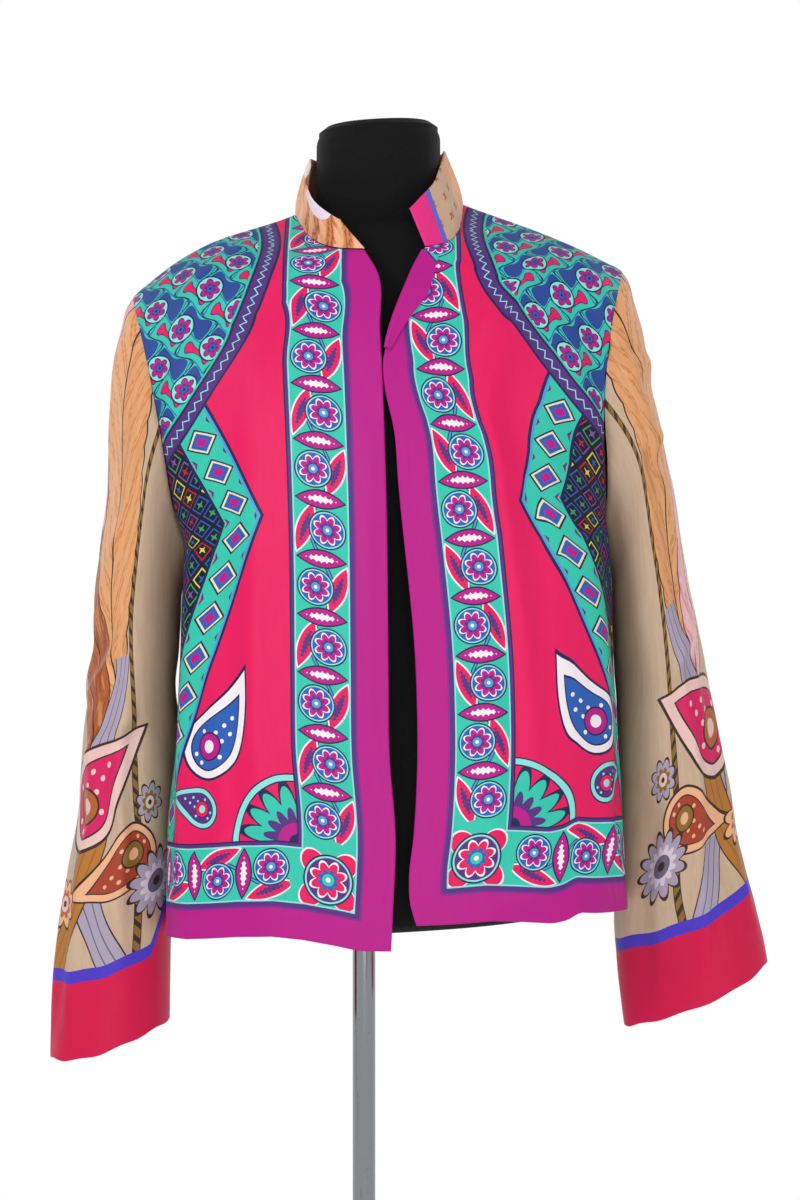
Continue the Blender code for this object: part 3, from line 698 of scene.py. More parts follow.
MAGENTA, ROSE = srgb("ba1689"), srgb("e8165e")
TURQUOISE, AQUA, VIOLET = srgb("35c6ae"), srgb("8fe0dc"), srgb("57307f")
NAVY, BLUE, SKY = srgb("23244f"), srgb("2c5fb4"), srgb("4f9bd8")
WHITE, CREAM, YELLOW, GREEN = srgb("f4ecf0"), srgb("efe3b8"), srgb("d8dc4e"), srgb("3f9c68")
EDGE_BAND, HEM_BAND = 0.0262, 0.0245
BORDER, RIM = 0.0420, 0.0050
BORDER_END = BORDER + 2 * RIM
# The vine: its repeat, swing and stem, its leaves' and flowers' places beside it, the leaves'
# slant of 20 degrees, and half the length and width of its leaves and of the sprays between.
VINE_LENGTH, VINE_SWING, STEM_WIDTH = 0.092, 0.0090, 0.0034
LEAF_ASIDE, FLOWER_ASIDE = 0.0128, 0.0050
LEAF_COS, LEAF_SIN = 0.94, 0.34
VINE_LEAF, VINE_SPRAY = (0.0200, 0.0060), (0.0185, 0.0062)
# Round yoke: its centre on the flat cloth, at the shoulder's tip, its radius and its net.
YOKE = (0.285, 0.590, 0.205)
YOKE_NET = (0.046, 0.050)
# Side border: place of its point, how steeply it runs away from it, its width and its repeat.
SIDE_POINT, SIDE_SLOPE, SIDE_WIDTH, LOZENGE_STEP = (0.097, 0.335), 0.42, 0.036, 0.034
TRELLIS_CELL, CROSS_WIDTH = 0.0170, 0.001265
# Step of the dots in a drop motif, as a share of its length.
DOT_STEP = 0.095
# Drop motifs in the rose field, the small one on the fronts only: middle, turn, length, colours.
LARGE_BUTA = ((0.140, 0.160), 0.95, 0.094, (NAVY, WHITE, BLUE, MAGENTA))
SMALL_BUTA = ((0.166, 0.108), -0.90, 0.056, (NAVY, AQUA, VIOLET, ROSE))
# Height of the back's large flower, and the step of the weave's diagonal ribs.
FLOWER_HEIGHT = 0.330
TWILL_STEP = 0.00055


def local(value, size):
    """Place within a repeat, measured from the repeat's middle."""
    return ((value / size).math("FRACT") - 0.5) * size


def polar(x, y):
    return (x * x + y * y) ** 0.5, y.math("ARCTAN2", x)


def petals(x, y, radius, count, depth):
    """How far inside a round flower's edge a place lies, as a share of the radius."""
    out, turn = polar(x, y)
    edge = abs(sine(turn * (count / 2))) * (depth * radius) + radius * (1 - depth)
    return 1 - out / edge, out


def lay(ground, where, *coats):
    """Lays coats of colour one after another, each where its own mask and the place allow."""
    for mask, colour in coats:
        ground = paint(ground, where * mask, colour)
    return ground


def flower(ground, x, y, radius, count, colours, where=1.0):
    """A round flower: outline, petals, ring and eye."""
    inside, out = petals(x, y, radius, count, 0.34)
    return lay(ground, (inside > -0.13) * where,
               (1.0, colours[0]), (inside > 0.0, colours[1]), (inside > 0.38, colours[2]),
               (out < 0.34 * radius, colours[3]), (out < 0.14 * radius, colours[0]))


def drop(x, y, low, high):
    """How far inside a drop with a bent tip a place lies, from one on its middle line."""
    held = ((y - low) / (high - low) | 0.001) & 0.999
    bend = ((y - 0.40) | 0.0) ** 1.7 * 0.80
    width = held ** 0.5 * (1 - held) ** 1.05 * (0.76 * (high - low))
    return between(y, low, high) * (1 - abs(x - bend) / width)


def buta(ground, u, v, middle, turn, size, colours):
    """A drop-shaped motif with a bent tip: outline, band, and a body sown with dots."""
    du, dv = u - middle[0], v - middle[1]
    x = (du * math.cos(turn) + dv * math.sin(turn)) / size
    y = (dv * math.cos(turn) - du * math.sin(turn)) / size + 0.42
    outline, band, body, heart = colours
    for low, high, ink in ((0.0, 1.0, outline), (0.025, 0.955, band), (0.085, 0.800, outline),
                           (0.100, 0.775, body)):
        ground = paint(ground, drop(x, y, low, high) > 0.0, ink)
    near_x, near_y = local(x, DOT_STEP), local(y, DOT_STEP)
    whole = drop(x - near_x, y - near_y, 0.130, 0.700) > 0.12
    ground = paint(ground, whole * (polar(near_x, near_y)[0] < DOT_STEP / 5), band)
    eye = polar(x, y - 0.30)[0]
    for radius, ink in ((0.125, outline), (0.110, heart), (0.055, band)):
        ground = paint(ground, eye < radius, ink)
    return ground


def lens(x, y, long, wide):
    """How far inside a pointed leaf a place lies, from one on its midrib to zero at its edge."""
    reach = 1 - (x / long) * (x / long)
    return reach - abs(y) / wide


def vine_border(ground, along, across, where):
    """Waving vine with a round flower in each bay and pointed leaves between them."""
    wave = sine(along * (2 * math.pi / VINE_LENGTH))
    bay = local(along, VINE_LENGTH / 2)
    side = wave.math("SIGN")
    offset = across - 0.5 * BORDER
    stem = abs(offset - wave * VINE_SWING)
    ground = lay(ground, where, (stem < STEM_WIDTH / 2, NAVY), (stem < STEM_WIDTH / 4.25, SKY))
    aside = offset - side * LEAF_ASIDE
    x, y = aside * LEAF_COS + bay * LEAF_SIN, bay * LEAF_COS - aside * LEAF_SIN
    leaf = lens(y, x, *VINE_LEAF)
    ground = lay(ground, where, (leaf > -0.22, WHITE), (leaf > 0.0, ROSE),
                 (leaf - abs(sine(y * 900.0)) * 0.28 > 0.42, VIOLET))
    spray = lens(offset, VINE_LENGTH / 4 - abs(bay), *VINE_SPRAY)
    ground = lay(ground, where, (spray > -0.22, NAVY), (spray > 0.0, MAGENTA),
                 (spray - abs(sine(offset * 760.0)) * 0.25 > 0.45, WHITE))
    x = offset + side * FLOWER_ASIDE
    disc = polar(x, bay)[0]
    ground = lay(ground, where, (disc < 0.0150, NAVY), (disc < 0.0138, AQUA), (disc < 0.0128, BLUE))
    return flower(ground, x, bay, 0.0104, 8, (WHITE, MAGENTA, VIOLET, SKY), where)


def stripes(ground, depth, table):
    """Parallel bands: where each starts and ends and its colour, the later over the earlier."""
    for start, end, colour in table:
        ground = paint(ground, between(depth, start, end), colour)
    return ground


def trellis(ground, u, v, where):
    """Dark diagonal trellis with a bright diamond and a small cross in each cell."""
    p, q = (u + v) * math.sqrt(0.5), (u - v) * math.sqrt(0.5)
    steps = [(k, (value / TRELLIS_CELL).math("FLOOR")) for k, value in enumerate((p, q))]
    cell = add(u.tree, "CombineXYZ", steps)
    chance = add(u.tree, "TexWhiteNoise", ((0, cell),), noise_dimensions="2D")
    x, y = local(p, TRELLIS_CELL), local(q, TRELLIS_CELL)
    reach = abs(x) | abs(y)
    ground = paint(ground, where, srgb("17172b"))
    ring = where * between(reach, 0.0056, 0.0068)
    cross = where * (abs(x * y) < CROSS_WIDTH ** 2) * (reach < 0.0040)
    colours = (BLUE, srgb("b3243f"), GREEN, YELLOW, srgb("7d4fa8"))
    for step, colour in enumerate(colours):
        chosen = between(chance, step / 5, (step + 1) / 5)
        ground = lay(ground, chosen, (ring, colour), (cross, colours[(step + 2) % 5]))
    return ground


def lozenge_border(ground, along, across, where):
    """Chain of nested lozenges with small diamonds between them."""
    x = abs(across - SIDE_WIDTH / 2)
    y = abs(local(along, LOZENGE_STEP))
    reach = x / 0.0135 + y / 0.0150
    far = abs(x - 0.0145) / 0.0036 + abs(y - LOZENGE_STEP / 2) / 0.0070
    return lay(ground, where, (reach < 1.0, NAVY), (reach < 0.86, CREAM), (reach < 0.70, BLUE),
               (reach < 0.36, MAGENTA), (far < 1.0, VIOLET), (far < 0.5, ROSE))


def yoke_fill(ground, u, v, where):
    """Turquoise ground with roundels on a half-drop net, flowers in them and tendrils between."""
    wide, tall = YOKE_NET
    tendril = sine(u * (2 * math.pi / wide) + sine(v * (4 * math.pi / tall)) * 0.9)
    other = sine(v * (2 * math.pi / tall) + sine(u * (4 * math.pi / wide)) * 0.9)
    bud = tendril * other
    ground = lay(ground, where, (bud > 0.18, srgb("2a4a97")), (abs(tendril) < 0.13, NAVY),
                 (abs(other) < 0.10, BLUE), (bud < -0.72, VIOLET), (bud < -0.86, ROSE))
    row = (v / (tall / 2)).math("FLOOR")
    shift = (row / 2).math("FRACT") * wide
    x, y = local(u + shift, wide), local(v, tall / 2)
    out = polar(x, y)[0]
    roundel = out < 0.0112
    ground = lay(ground, where, (roundel, NAVY), (out < 0.0100, AQUA))
    return flower(ground, x, y, 0.0078, 6, (NAVY, MAGENTA, VIOLET, BLUE), where * roundel)


def side_and_yoke(colour, u, v):
    """Side border with the trellis behind it, and over both the yoke with its violet rim."""
    lean = 1 / math.hypot(1, SIDE_SLOPE)
    rise = abs(v - SIDE_POINT[1])
    depth = (u - SIDE_POINT[0] - rise * SIDE_SLOPE) * lean
    colour = trellis(colour, u, v, depth > SIDE_WIDTH)
    colour = stripes(colour, depth, ((0.0, SIDE_WIDTH, TURQUOISE), (0.0, 0.0024, NAVY),
                                     (0.0024, 0.0044, SKY), (SIDE_WIDTH - 0.0026, SIDE_WIDTH, NAVY)))
    colour = lozenge_border(colour, rise / lean, depth, between(depth, 0.005, 0.032))
    middle_u, middle_v, radius = YOKE
    inside = radius - polar(u - middle_u, v - middle_v)[0]
    colour = paint(colour, inside > 0.0, TURQUOISE)
    colour = yoke_fill(colour, u, v, inside > 0.019)
    turn = (v - middle_v).math("ARCTAN2", u - middle_u)
    zigzag = abs(local(turn * radius, 0.0085)) * 1.1 + 0.0055
    colour = stripes(colour, inside, ((0.0, 0.0022, NAVY), (0.0022, 0.0150, VIOLET),
                                      (0.0150, 0.0172, NAVY)))
    return paint(colour, between(inside - zigzag, 0.0, 0.0013), AQUA)


def hem_border(colour, depth, along):
    """The vine border between its aqua and violet rims, at a depth in from the plain band."""
    colour = paint(colour, between(depth, 0.0, BORDER_END), TURQUOISE)
    colour = vine_border(colour, along, depth - RIM, between(depth, RIM, RIM + BORDER))
    colour = stripes(colour, depth, ((0.0000, 0.0038, VIOLET), (0.0038, 0.0050, AQUA),
                                     (RIM + BORDER, BORDER_END - 0.0038, AQUA),
                                     (BORDER_END - 0.0038, BORDER_END, VIOLET),
                                     (BORDER_END - 0.0012, BORDER_END, NAVY)))
    return paint(colour, between(depth, -0.0016, 0.0), srgb("8a2689"))


def silk_material(name, print_colour):
    """Printed silk twill: fine diagonal weave and a soft, slightly uneven gloss."""
    made, tree, shader = start_material(name, 0.45, Specular_IOR_Level=0.20)
    u, v, _ = parts_of(add(tree, "UVMap", uv_map="flat_cloth"))
    colour = print_colour(u, v)
    slub = noise(tree, add(tree, "CombineXYZ", ((0, u * 260.0), (1, v * 40.0))), 1.0, 3.0, 0.6)
    plug(shader, "Base Color", paint(colour, slub * 0.10, (0.02, 0.01, 0.03)))
    plug(shader, "Roughness", 0.36 + slub * 0.14)
    twill = sine((u + v) * (2 * math.pi / TWILL_STEP))
    bump(shader, twill * 0.35 + slub, 0.00010, 0.55)
    return made


def back_print(u, v):
    """The back's print mirrors about its centre, with a large flower in the rose field."""
    out = abs(u)
    y = v - FLOWER_HEIGHT
    colour = flower(ROSE, out, y, 0.066, 16, (NAVY, TURQUOISE, BLUE, VIOLET))
    colour = stripes(colour, polar(out, y)[0],
                     ((0.072, 0.0735, NAVY), (0.0735, 0.082, TURQUOISE), (0.082, 0.0835, NAVY)))
    colour = flower(colour, out, y, 0.021, 8, (WHITE, MAGENTA, ROSE, YELLOW))
    colour = buta(colour, out, v, *LARGE_BUTA)
    colour = side_and_yoke(colour, out, v)
    colour = hem_border(colour, v - HEM_BAND, out)
    return paint(colour, v < HEM_BAND, MAGENTA)


def seam_groove(distance):
    """The skin dips a little at a seam and is pressed flat beside it."""
    dip = -0.0006 * np.exp(-(distance / 0.0017) ** 2)
    return dip + 0.0003 * np.exp(-((distance - 0.0075) / 0.003) ** 2)


def panel_levels():
    """Levels of a panel's rows, close together at the rolled hem."""
    return edge_steps(PANEL_ROWS, LEVEL_LENGTH * LEVEL_TOP) * LEVEL_TOP


def relieve(grid, outward, u, v, from_side, creases, free_edge):
    """Moves a panel's skin by its creases, its unevenness, its seams and its rolled edges."""
    top = v.max(axis=0)[None, :] - v
    quiet = fade_in(from_side, SEAM_REACH) * fade_in(top, SEAM_REACH)
    relief = crease_relief(u, v, creases) * quiet + crumple(grid) * (0.35 + 0.65 * quiet)
    relief += seam_groove(from_side) + seam_groove(top)
    relief -= rolled(v)
    if free_edge is not None:
        relief -= rolled(free_edge)
    return grid + outward * relief[..., None]


BACK_CREASES = [Crease(*row) for row in (
    (0.06, 0.02, 0.045, 0.33, 0.006, 0.0127, 0.0045), (-0.085, 0.0, -0.06, 0.4, -0.008, 0.0145, 0.0051),
    (0.15, 0.01, 0.13, 0.36, 0.01, 0.0153, 0.0054), (-0.165, 0.03, -0.15, 0.33, 0.006, 0.0136, 0.0045),
    (0.215, 0.02, 0.2, 0.28, 0.0, 0.0119, 0.0045), (-0.22, 0.0, -0.215, 0.24, 0.004, 0.011, 0.0039),
    (0.2, 0.33, 0.09, 0.52, 0.012, 0.0136, 0.0039), (-0.19, 0.35, -0.07, 0.54, -0.012, 0.0145, 0.0042),
    (-0.01, 0.48, 0.09, 0.62, 0.006, 0.0102, 0.0021), (0.005, 0.13, -0.015, 0.44, 0.01, 0.017, 0.0033))]

levels = panel_levels()
shares = np.linspace(0, 1, PANEL_COLUMNS)
halves = []
for side in (RIGHT, LEFT):
    grid = half_panel(side, None, levels, shares)
    u, v = flatten(grid, levels)
    outward = -skin_normals(grid) * side.out
    # At the centre back both halves share the normal of a strip across it.
    strip = np.stack((grid[:, 0] - (0.004, 0, 0), grid[:, 0] + (0.004, 0, 0)), axis=1)
    outward[:, 0] = -skin_normals(strip)[:, 0]
    halves.append((grid, u * side.out, v, outward, u.max(axis=1)[:, None] - u))
joined = [np.concatenate((halves[0][k][:, ::-1], halves[1][k][:, 1:]), axis=1) for k in range(5)]
grid, u, v, outward, from_side = joined
grid = relieve(grid, outward, u, v, from_side, BACK_CREASES, None)
back_silk = silk_material("silk_back", back_print)
back = cloth_object("jacket_back", grid, u, v, v < TURN_UP, False, back_silk, True)
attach(back, "root")
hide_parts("back")


# Fronts: the same silk, cut to an edge that hangs straight on the wearer's right and turns back
# at the top on the left. The plain band follows the free edge and the hem, whose edges are
# rolled. Soft folds hang from the chest and run from the armholes.

EdgeRow = namedtuple("EdgeRow", "z x")
EDGE_RIGHT = [EdgeRow(*row) for row in (
    (0.7225, 0.0230), (0.7530, 0.0245), (0.8100, 0.0266), (0.8800, 0.0217), (0.9370, 0.0210),
    (1.0950, 0.0189), (1.2160, 0.0140), (1.2680, 0.0105), (1.2840, 0.0010))]
EDGE_LEFT = [EdgeRow(*row) for row in (
    (0.7425, 0.0430), (0.7600, 0.0380), (0.7820, 0.0371), (0.8105, 0.0403), (0.8600, 0.0433),
    (0.9370, 0.0427), (1.0950, 0.0284), (1.1350, 0.0252), (1.1700, 0.0178), (1.1860, 0.0164),
    (1.2050, 0.0190), (1.2530, 0.0348), (1.2760, 0.0450), (1.2860, 0.0507))]

RIGHT_CREASES = [Crease(*row) for row in (
    (0.205, 0.05, 0.12, 0.08, 0.003, 0.007, 0.0022), (0.195, 0.012, 0.105, 0.03, 0.003, 0.006, 0.0016),
    (0.105, 0.02, 0.1, 0.5, 0.006, 0.0127, 0.0039), (0.185, 0.0, 0.16, 0.36, 0.008, 0.0145, 0.0054),
    (0.232, 0.01, 0.222, 0.29, 0.004, 0.011, 0.0048), (0.06, 0.02, 0.06, 0.26, -0.004, 0.0119, 0.0024),
    (0.225, 0.36, 0.13, 0.52, 0.012, 0.0119, 0.0039), (0.09, 0.6, 0.18, 0.47, -0.008, 0.011, 0.0027),
    (0.01, 0.06, 0.012, 0.42, 0.004, 0.0085, 0.0018), (0.145, 0.06, 0.15, 0.23, -0.004, 0.0093, 0.0021))]
LEFT_CREASES = [Crease(*row) for row in (
    (0.17, 0.06, 0.1, 0.04, -0.003, 0.007, 0.002), (0.06, 0.012, 0.125, 0.026, 0.003, 0.006, 0.0016),
    (0.095, 0.1, 0.085, 0.56, -0.006, 0.0119, 0.0045), (0.165, 0.0, 0.15, 0.34, 0.006, 0.0136, 0.0048),
    (0.225, 0.03, 0.215, 0.3, 0.004, 0.011, 0.0045), (0.06, 0.01, 0.05, 0.3, 0.006, 0.011, 0.0024),
    (0.225, 0.38, 0.12, 0.5, -0.01, 0.011, 0.0042), (0.12, 0.59, 0.19, 0.46, 0.006, 0.011, 0.003),
    (0.195, 0.0, 0.16, 0.085, 0.004, 0.0093, 0.006), (0.03, 0.42, 0.085, 0.54, 0.004, 0.0102, 0.0027))]


def front_print(u, v):
    """Border and plain band along the edge and the hem, mitred at the corner under a roundel."""
    across, up = u - EDGE_BAND, v - HEM_BAND
    by_edge = across < up
    depth = across & up
    middle = RIM + BORDER / 2
    along = (up * by_edge + across * (1 - by_edge)) - middle + VINE_LENGTH / 4
    x, y = across - BORDER_END, up - BORDER_END
    colour = flower(ROSE, x, y, 0.044, 16, (NAVY, TURQUOISE, VIOLET, MAGENTA))
    colour = stripes(colour, polar(x, y)[0],
                     ((0.0470, 0.0482, NAVY), (0.0482, 0.0528, AQUA), (0.0528, 0.0540, NAVY)))
    colour = buta(colour, u, v, *LARGE_BUTA)
    colour = buta(colour, u, v, *SMALL_BUTA)
    colour = side_and_yoke(colour, u, v)
    colour = hem_border(colour, depth, along)
    x, y = across - middle, up - middle
    disc = polar(x, y)[0]
    sprig = petals(x, y, 0.0280, 4, 0.75)[0]
    colour = lay(colour, between(depth, RIM, RIM + BORDER),
                 (disc < 0.031, TURQUOISE), (sprig > -0.06, WHITE), (sprig > 0.0, ROSE))
    for radius, ink in ((0.0200, NAVY), (0.0186, AQUA), (0.0172, VIOLET)):
        colour = paint(colour, disc < radius, ink)
    colour = flower(colour, x, y, 0.0140, 8, (WHITE, ROSE, BLUE, TURQUOISE))
    return paint(colour, depth < -0.0016, MAGENTA)


# How far a front's hem is drawn up, at places across from its free edge.
LiftRow = namedtuple("LiftRow", "across lift")
LIFT_RIGHT = [LiftRow(*row) for row in (
    (0.000, 0.000), (0.025, 0.000), (0.045, 0.004), (0.070, 0.008), (0.095, 0.0098), (0.125, 0.0082),
    (0.150, 0.0055), (0.175, 0.0030), (0.240, 0.0010))]
LIFT_LEFT = [LiftRow(*row) for row in (
    (0.000, 0.000), (0.030, 0.001), (0.060, 0.0032), (0.085, 0.0020), (0.110, 0.0000), (0.122, 0.0020),
    (0.134, 0.0075), (0.150, 0.0060), (0.240, 0.0030))]
LIFT_FADE = 0.280


def make_front(name, node, side, rows, turned_back, lift, creases, finish):
    """A front, whose print is measured from its cut edge, also where that is turned back."""
    levels = panel_levels()
    shares = edge_steps(PANEL_COLUMNS, 0.25)
    grid = half_panel(side, rows, levels, shares)
    u, v = flatten(grid, levels)
    drawn = np.interp(u, column(lift, "across"), column(lift, "lift"))
    grid[..., 2] += drawn * (1 - fade_in(v, LIFT_FADE))
    u, v = flatten(grid, levels)
    hidden = np.interp(grid[:, 0, 2], column(turned_back, "z"), column(turned_back, "width"))
    hidden = np.where(levels <= LEVEL_CORNER, hidden, turned_back[-1].width)
    outward = skin_normals(grid) * side.out
    free_edge = np.where(levels[:, None] <= LEVEL_CORNER, u, 1.0)
    from_side = u.max(axis=1)[:, None] - u
    grid = relieve(grid, outward, u, v, from_side, creases, free_edge)
    doubled = (v < TURN_UP) | (free_edge < TURN_UP)
    printed = u + hidden[:, None]
    made = cloth_object(name, grid, printed, v, doubled, False, finish, side.out < 0)
    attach(made, "root")
    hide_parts(node)


# Width of cloth that is turned back behind each front's edge, at heights from the bottom up.
TurnedRow = namedtuple("TurnedRow", "z width")
TURNED_RIGHT = [TurnedRow(*row) for row in ((1.2300, 0.000), (1.2680, 0.002), (1.2840, 0.0115))]
TURNED_LEFT = [TurnedRow(*row) for row in (
    (1.1550, 0.000), (1.1990, 0.007), (1.2405, 0.023), (1.2660, 0.038), (1.2835, 0.049))]

front_silk = silk_material("silk_fronts", front_print)
make_front("jacket_front_right", "front_right", RIGHT, EDGE_RIGHT, TURNED_RIGHT, LIFT_RIGHT,
           RIGHT_CREASES, front_silk)
make_front("jacket_front_left", "front_left", LEFT, EDGE_LEFT, TURNED_LEFT, LIFT_LEFT,
           LEFT_CREASES, front_silk)


# Turned-back corner of the left front: its facing is the same magenta silk, rolled over the edge
# in a soft bend and lying on the front, widest above its middle.

# Levels below the neckline's corner between which it lies.
FACING_DROP, FACING_TOP = 2.90, 0.12
FacingRow = namedtuple("FacingRow", "z width")
FACING = [FacingRow(*row) for row in ((1.1950, 0.0025), (1.2510, 0.0190), (1.2650, 0.0180), (1.2840, 0.0130))]
# Profile of the roll: place across from the edge, and height over the front's skin.
FACING_ROLL = ((0.0000, -0.0004), (-0.0011, 0.0004), (-0.0015, 0.0015), (-0.0008, 0.0026), (0.0008, 0.0032))
FACING_FLAT = 12
# Place up the facing where its plain magenta ends.
FACING_MARK = 0.0925


def facing_print(u, v):
    corner = (u - 0.006) * 0.5 + (v - FACING_MARK)
    colour = paint(MAGENTA, corner > -0.0020, VIOLET)
    return paint(colour, corner > 0.0, TURQUOISE)


levels = np.linspace(LEVEL_CORNER - FACING_DROP, LEVEL_CORNER - FACING_TOP, 34)
fine = half_panel(LEFT, EDGE_LEFT, levels, np.linspace(0, 1, PANEL_COLUMNS))
outward = skin_normals(fine)
skin, flat_u = [], []
widths = np.interp(fine[:, 0, 2], column(FACING, "z"), column(FACING, "width"))
for row, out, width in zip(fine, outward, widths):
    reach = np.concatenate(([0.0], np.cumsum(np.linalg.norm(np.diff(row, axis=0), axis=1))))
    aside = (row[1] - row[0]) / np.linalg.norm(row[1] - row[0])
    flat = np.linspace(0.0016, width, FACING_FLAT)
    lift = 0.0034 - 0.0020 * np.linspace(0, 1, FACING_FLAT) ** 0.7
    profile = list(FACING_ROLL) + list(zip(flat, lift))
    line = []
    for across, height in profile:
        at = max(across, 0.0)
        place = np.array([np.interp(at, reach, row[:, k]) for k in range(3)])
        normal = np.array([np.interp(at, reach, out[:, k]) for k in range(3)])
        line.append(place + min(across, 0.0) * aside + normal * height)
    skin.append(line)
    flat_u.append([across for across, height in profile])
skin = np.array(skin)
v = running(np.linalg.norm(np.diff(skin[:, 6], axis=0), axis=1))[:, None] + 0 * np.array(flat_u)
facing_silk = silk_material("silk_facing", facing_print)
facing = cloth_object("turned_back_facing", skin, np.array(flat_u), v, v > 1, False, facing_silk, False)
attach(facing, "root")
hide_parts("facing_left")


# Sleeves: long and straight, set in at the armhole, of the same silk with a taupe ground. The
# plain rose band and blue-violet stripe run round the cuff. They hang loose and empty, so they
# crease across at the elbow and flatten towards the cuff.

SleeveRow = namedtuple("SleeveRow", "z outer inner half_depth middle_y")
SLEEVE_RIGHT = [SleeveRow(*row) for row in (
    (1.26, -0.1900, -0.1780, 0.050, 0.000), (1.21, -0.2050, -0.1540, 0.060, 0.000),
    (1.15, -0.2095, -0.1400, 0.066, 0.000), (1.09, -0.2120, -0.1450, 0.070, 0.002),
    (1.04, -0.2200, -0.1495, 0.071, 0.003), (0.99, -0.2258, -0.1540, 0.070, 0.004),
    (0.92, -0.2310, -0.1540, 0.067, 0.006), (0.85, -0.2385, -0.1555, 0.062, 0.008),
    (0.78, -0.2470, -0.1580, 0.056, 0.008), (0.71, -0.2540, -0.1605, 0.049, 0.006),
    (0.65, -0.2590, -0.1620, 0.044, 0.004), (0.60, -0.2635, -0.1640, 0.042, 0.003))]
SLEEVE_LEFT = [SleeveRow(*row) for row in (
    (1.28, 0.2130, 0.2050, 0.050, 0.000), (1.23, 0.2290, 0.1940, 0.060, 0.000),
    (1.17, 0.2410, 0.1900, 0.066, 0.000), (1.11, 0.2537, 0.1970, 0.070, 0.002),
    (1.05, 0.2640, 0.2025, 0.071, 0.004), (0.99, 0.2750, 0.2065, 0.070, 0.006),
    (0.92, 0.2895, 0.2090, 0.066, 0.008), (0.85, 0.3040, 0.2100, 0.060, 0.010),
    (0.78, 0.3190, 0.2100, 0.052, 0.012), (0.72, 0.3325, 0.2095, 0.044, 0.012),
    (0.66, 0.3430, 0.2150, 0.036, 0.011), (0.60, 0.3520, 0.2260, 0.034, 0.010))]
CUFF_RIGHT = (0.6200, 0.6500)
CUFF_LEFT = (0.6980, 0.6440)
CAP_TOP, CAP_BOTTOM = 0.085, 0.040
SLEEVE_COLUMNS, SLEEVE_RINGS = 112, 150

Fold = namedtuple("Fold", "turn z run width depth")
FOLDS_RIGHT = [Fold(0.14, 0.960, 0.16, 0.022, 0.0060), Fold(0.30, 0.900, 0.12, 0.024, 0.0050),
               Fold(0.62, 0.930, 0.15, 0.024, 0.0055), Fold(0.12, 0.820, 0.14, 0.026, 0.0045)]
FOLDS_LEFT = [Fold(0.20, 1.206, 0.08, 0.007, 0.0045), Fold(0.22, 1.120, 0.16, 0.022, 0.0050),
              Fold(0.30, 0.930, 0.14, 0.026, 0.0055), Fold(0.66, 0.900, 0.15, 0.026, 0.0055),
              Fold(0.16, 0.800, 0.14, 0.028, 0.0050)]

SLEEVE_CREASES_RIGHT = [Crease(*row) for row in (
    (0.03, 0.03, 0.055, 0.33, 0.006, 0.0102, 0.0043), (0.085, 0.06, 0.095, 0.3, -0.004, 0.0085, 0.0041),
    (0.015, 0.3, 0.11, 0.36, 0.006, 0.0093, 0.0046), (0.03, 0.245, 0.12, 0.275, -0.006, 0.0085, 0.0041),
    (-0.03, 0.28, 0.06, 0.41, 0.01, 0.0102, 0.0035), (0.06, 0.4, 0.11, 0.56, 0.01, 0.011, 0.0035),
    (0.01, 0.42, 0.03, 0.6, -0.006, 0.011, 0.003), (-0.04, 0.03, -0.06, 0.33, 0.006, 0.0102, 0.0043),
    (-0.1, 0.05, -0.09, 0.3, 0.004, 0.0093, 0.0038), (-0.02, 0.36, -0.11, 0.3, 0.008, 0.0093, 0.0041),
    (-0.05, 0.42, -0.12, 0.55, 0.008, 0.011, 0.0035), (0.0, 0.0, 0.01, 0.15, 0.004, 0.0085, 0.0032))]
SLEEVE_CREASES_LEFT = [Crease(*row) for row in (
    (0.02, 0.02, 0.03, 0.25, 0.006, 0.0102, 0.0038), (0.08, 0.02, 0.085, 0.33, -0.006, 0.0093, 0.0046),
    (0.12, 0.01, 0.115, 0.2, 0.004, 0.0085, 0.0035), (0.02, 0.45, 0.12, 0.48, 0.008, 0.0093, 0.0049),
    (0.0, 0.5, 0.1, 0.52, -0.006, 0.0093, 0.0035), (0.03, 0.32, 0.12, 0.27, 0.006, 0.0093, 0.0035),
    (0.06, 0.36, 0.08, 0.56, 0.008, 0.011, 0.0032), (-0.03, 0.02, -0.05, 0.34, 0.006, 0.0102, 0.0043),
    (-0.09, 0.03, -0.085, 0.28, 0.004, 0.0093, 0.0038), (-0.01, 0.43, -0.11, 0.37, 0.008, 0.0093, 0.0041),
    (-0.06, 0.38, -0.1, 0.56, 0.006, 0.011, 0.0032), (0.05, 0.12, 0.055, 0.42, 0.006, 0.0093, 0.003))]

TAUPE, TAN, SIENNA = srgb("c9ab90"), srgb("e9a873"), srgb("b5622f")
BLUSH, LILAC, GOLD = srgb("ecc4bd"), srgb("aca0b4"), srgb("8c6a2c")
UMBER, IRIS, PEACH = srgb("3f2a20"), srgb("4d38c4"), srgb("f0b48a")
CUFF_BAND, CUFF_STRIPE = 0.0640, 0.0105
# Place across the front of each cuff from which its band is pulled up by a pleat, where the left
# has none, the colours of the lower leaf (outline, blade, dark and light), and the lengths by which
# the cuff's front and back dip below its sides and waver.
PLEAT_RIGHT, PLEAT_LEFT = 0.112, 1.0
LOW_LEAF_RIGHT = (UMBER, SIENNA, srgb("8e4623"), TAN)
LOW_LEAF_LEFT = (UMBER, BLUSH, srgb("e07fa0"), srgb("f6e6e6"))
CUFF_DIP = 0.0065
CUFF_RIPPLE = 0.0007


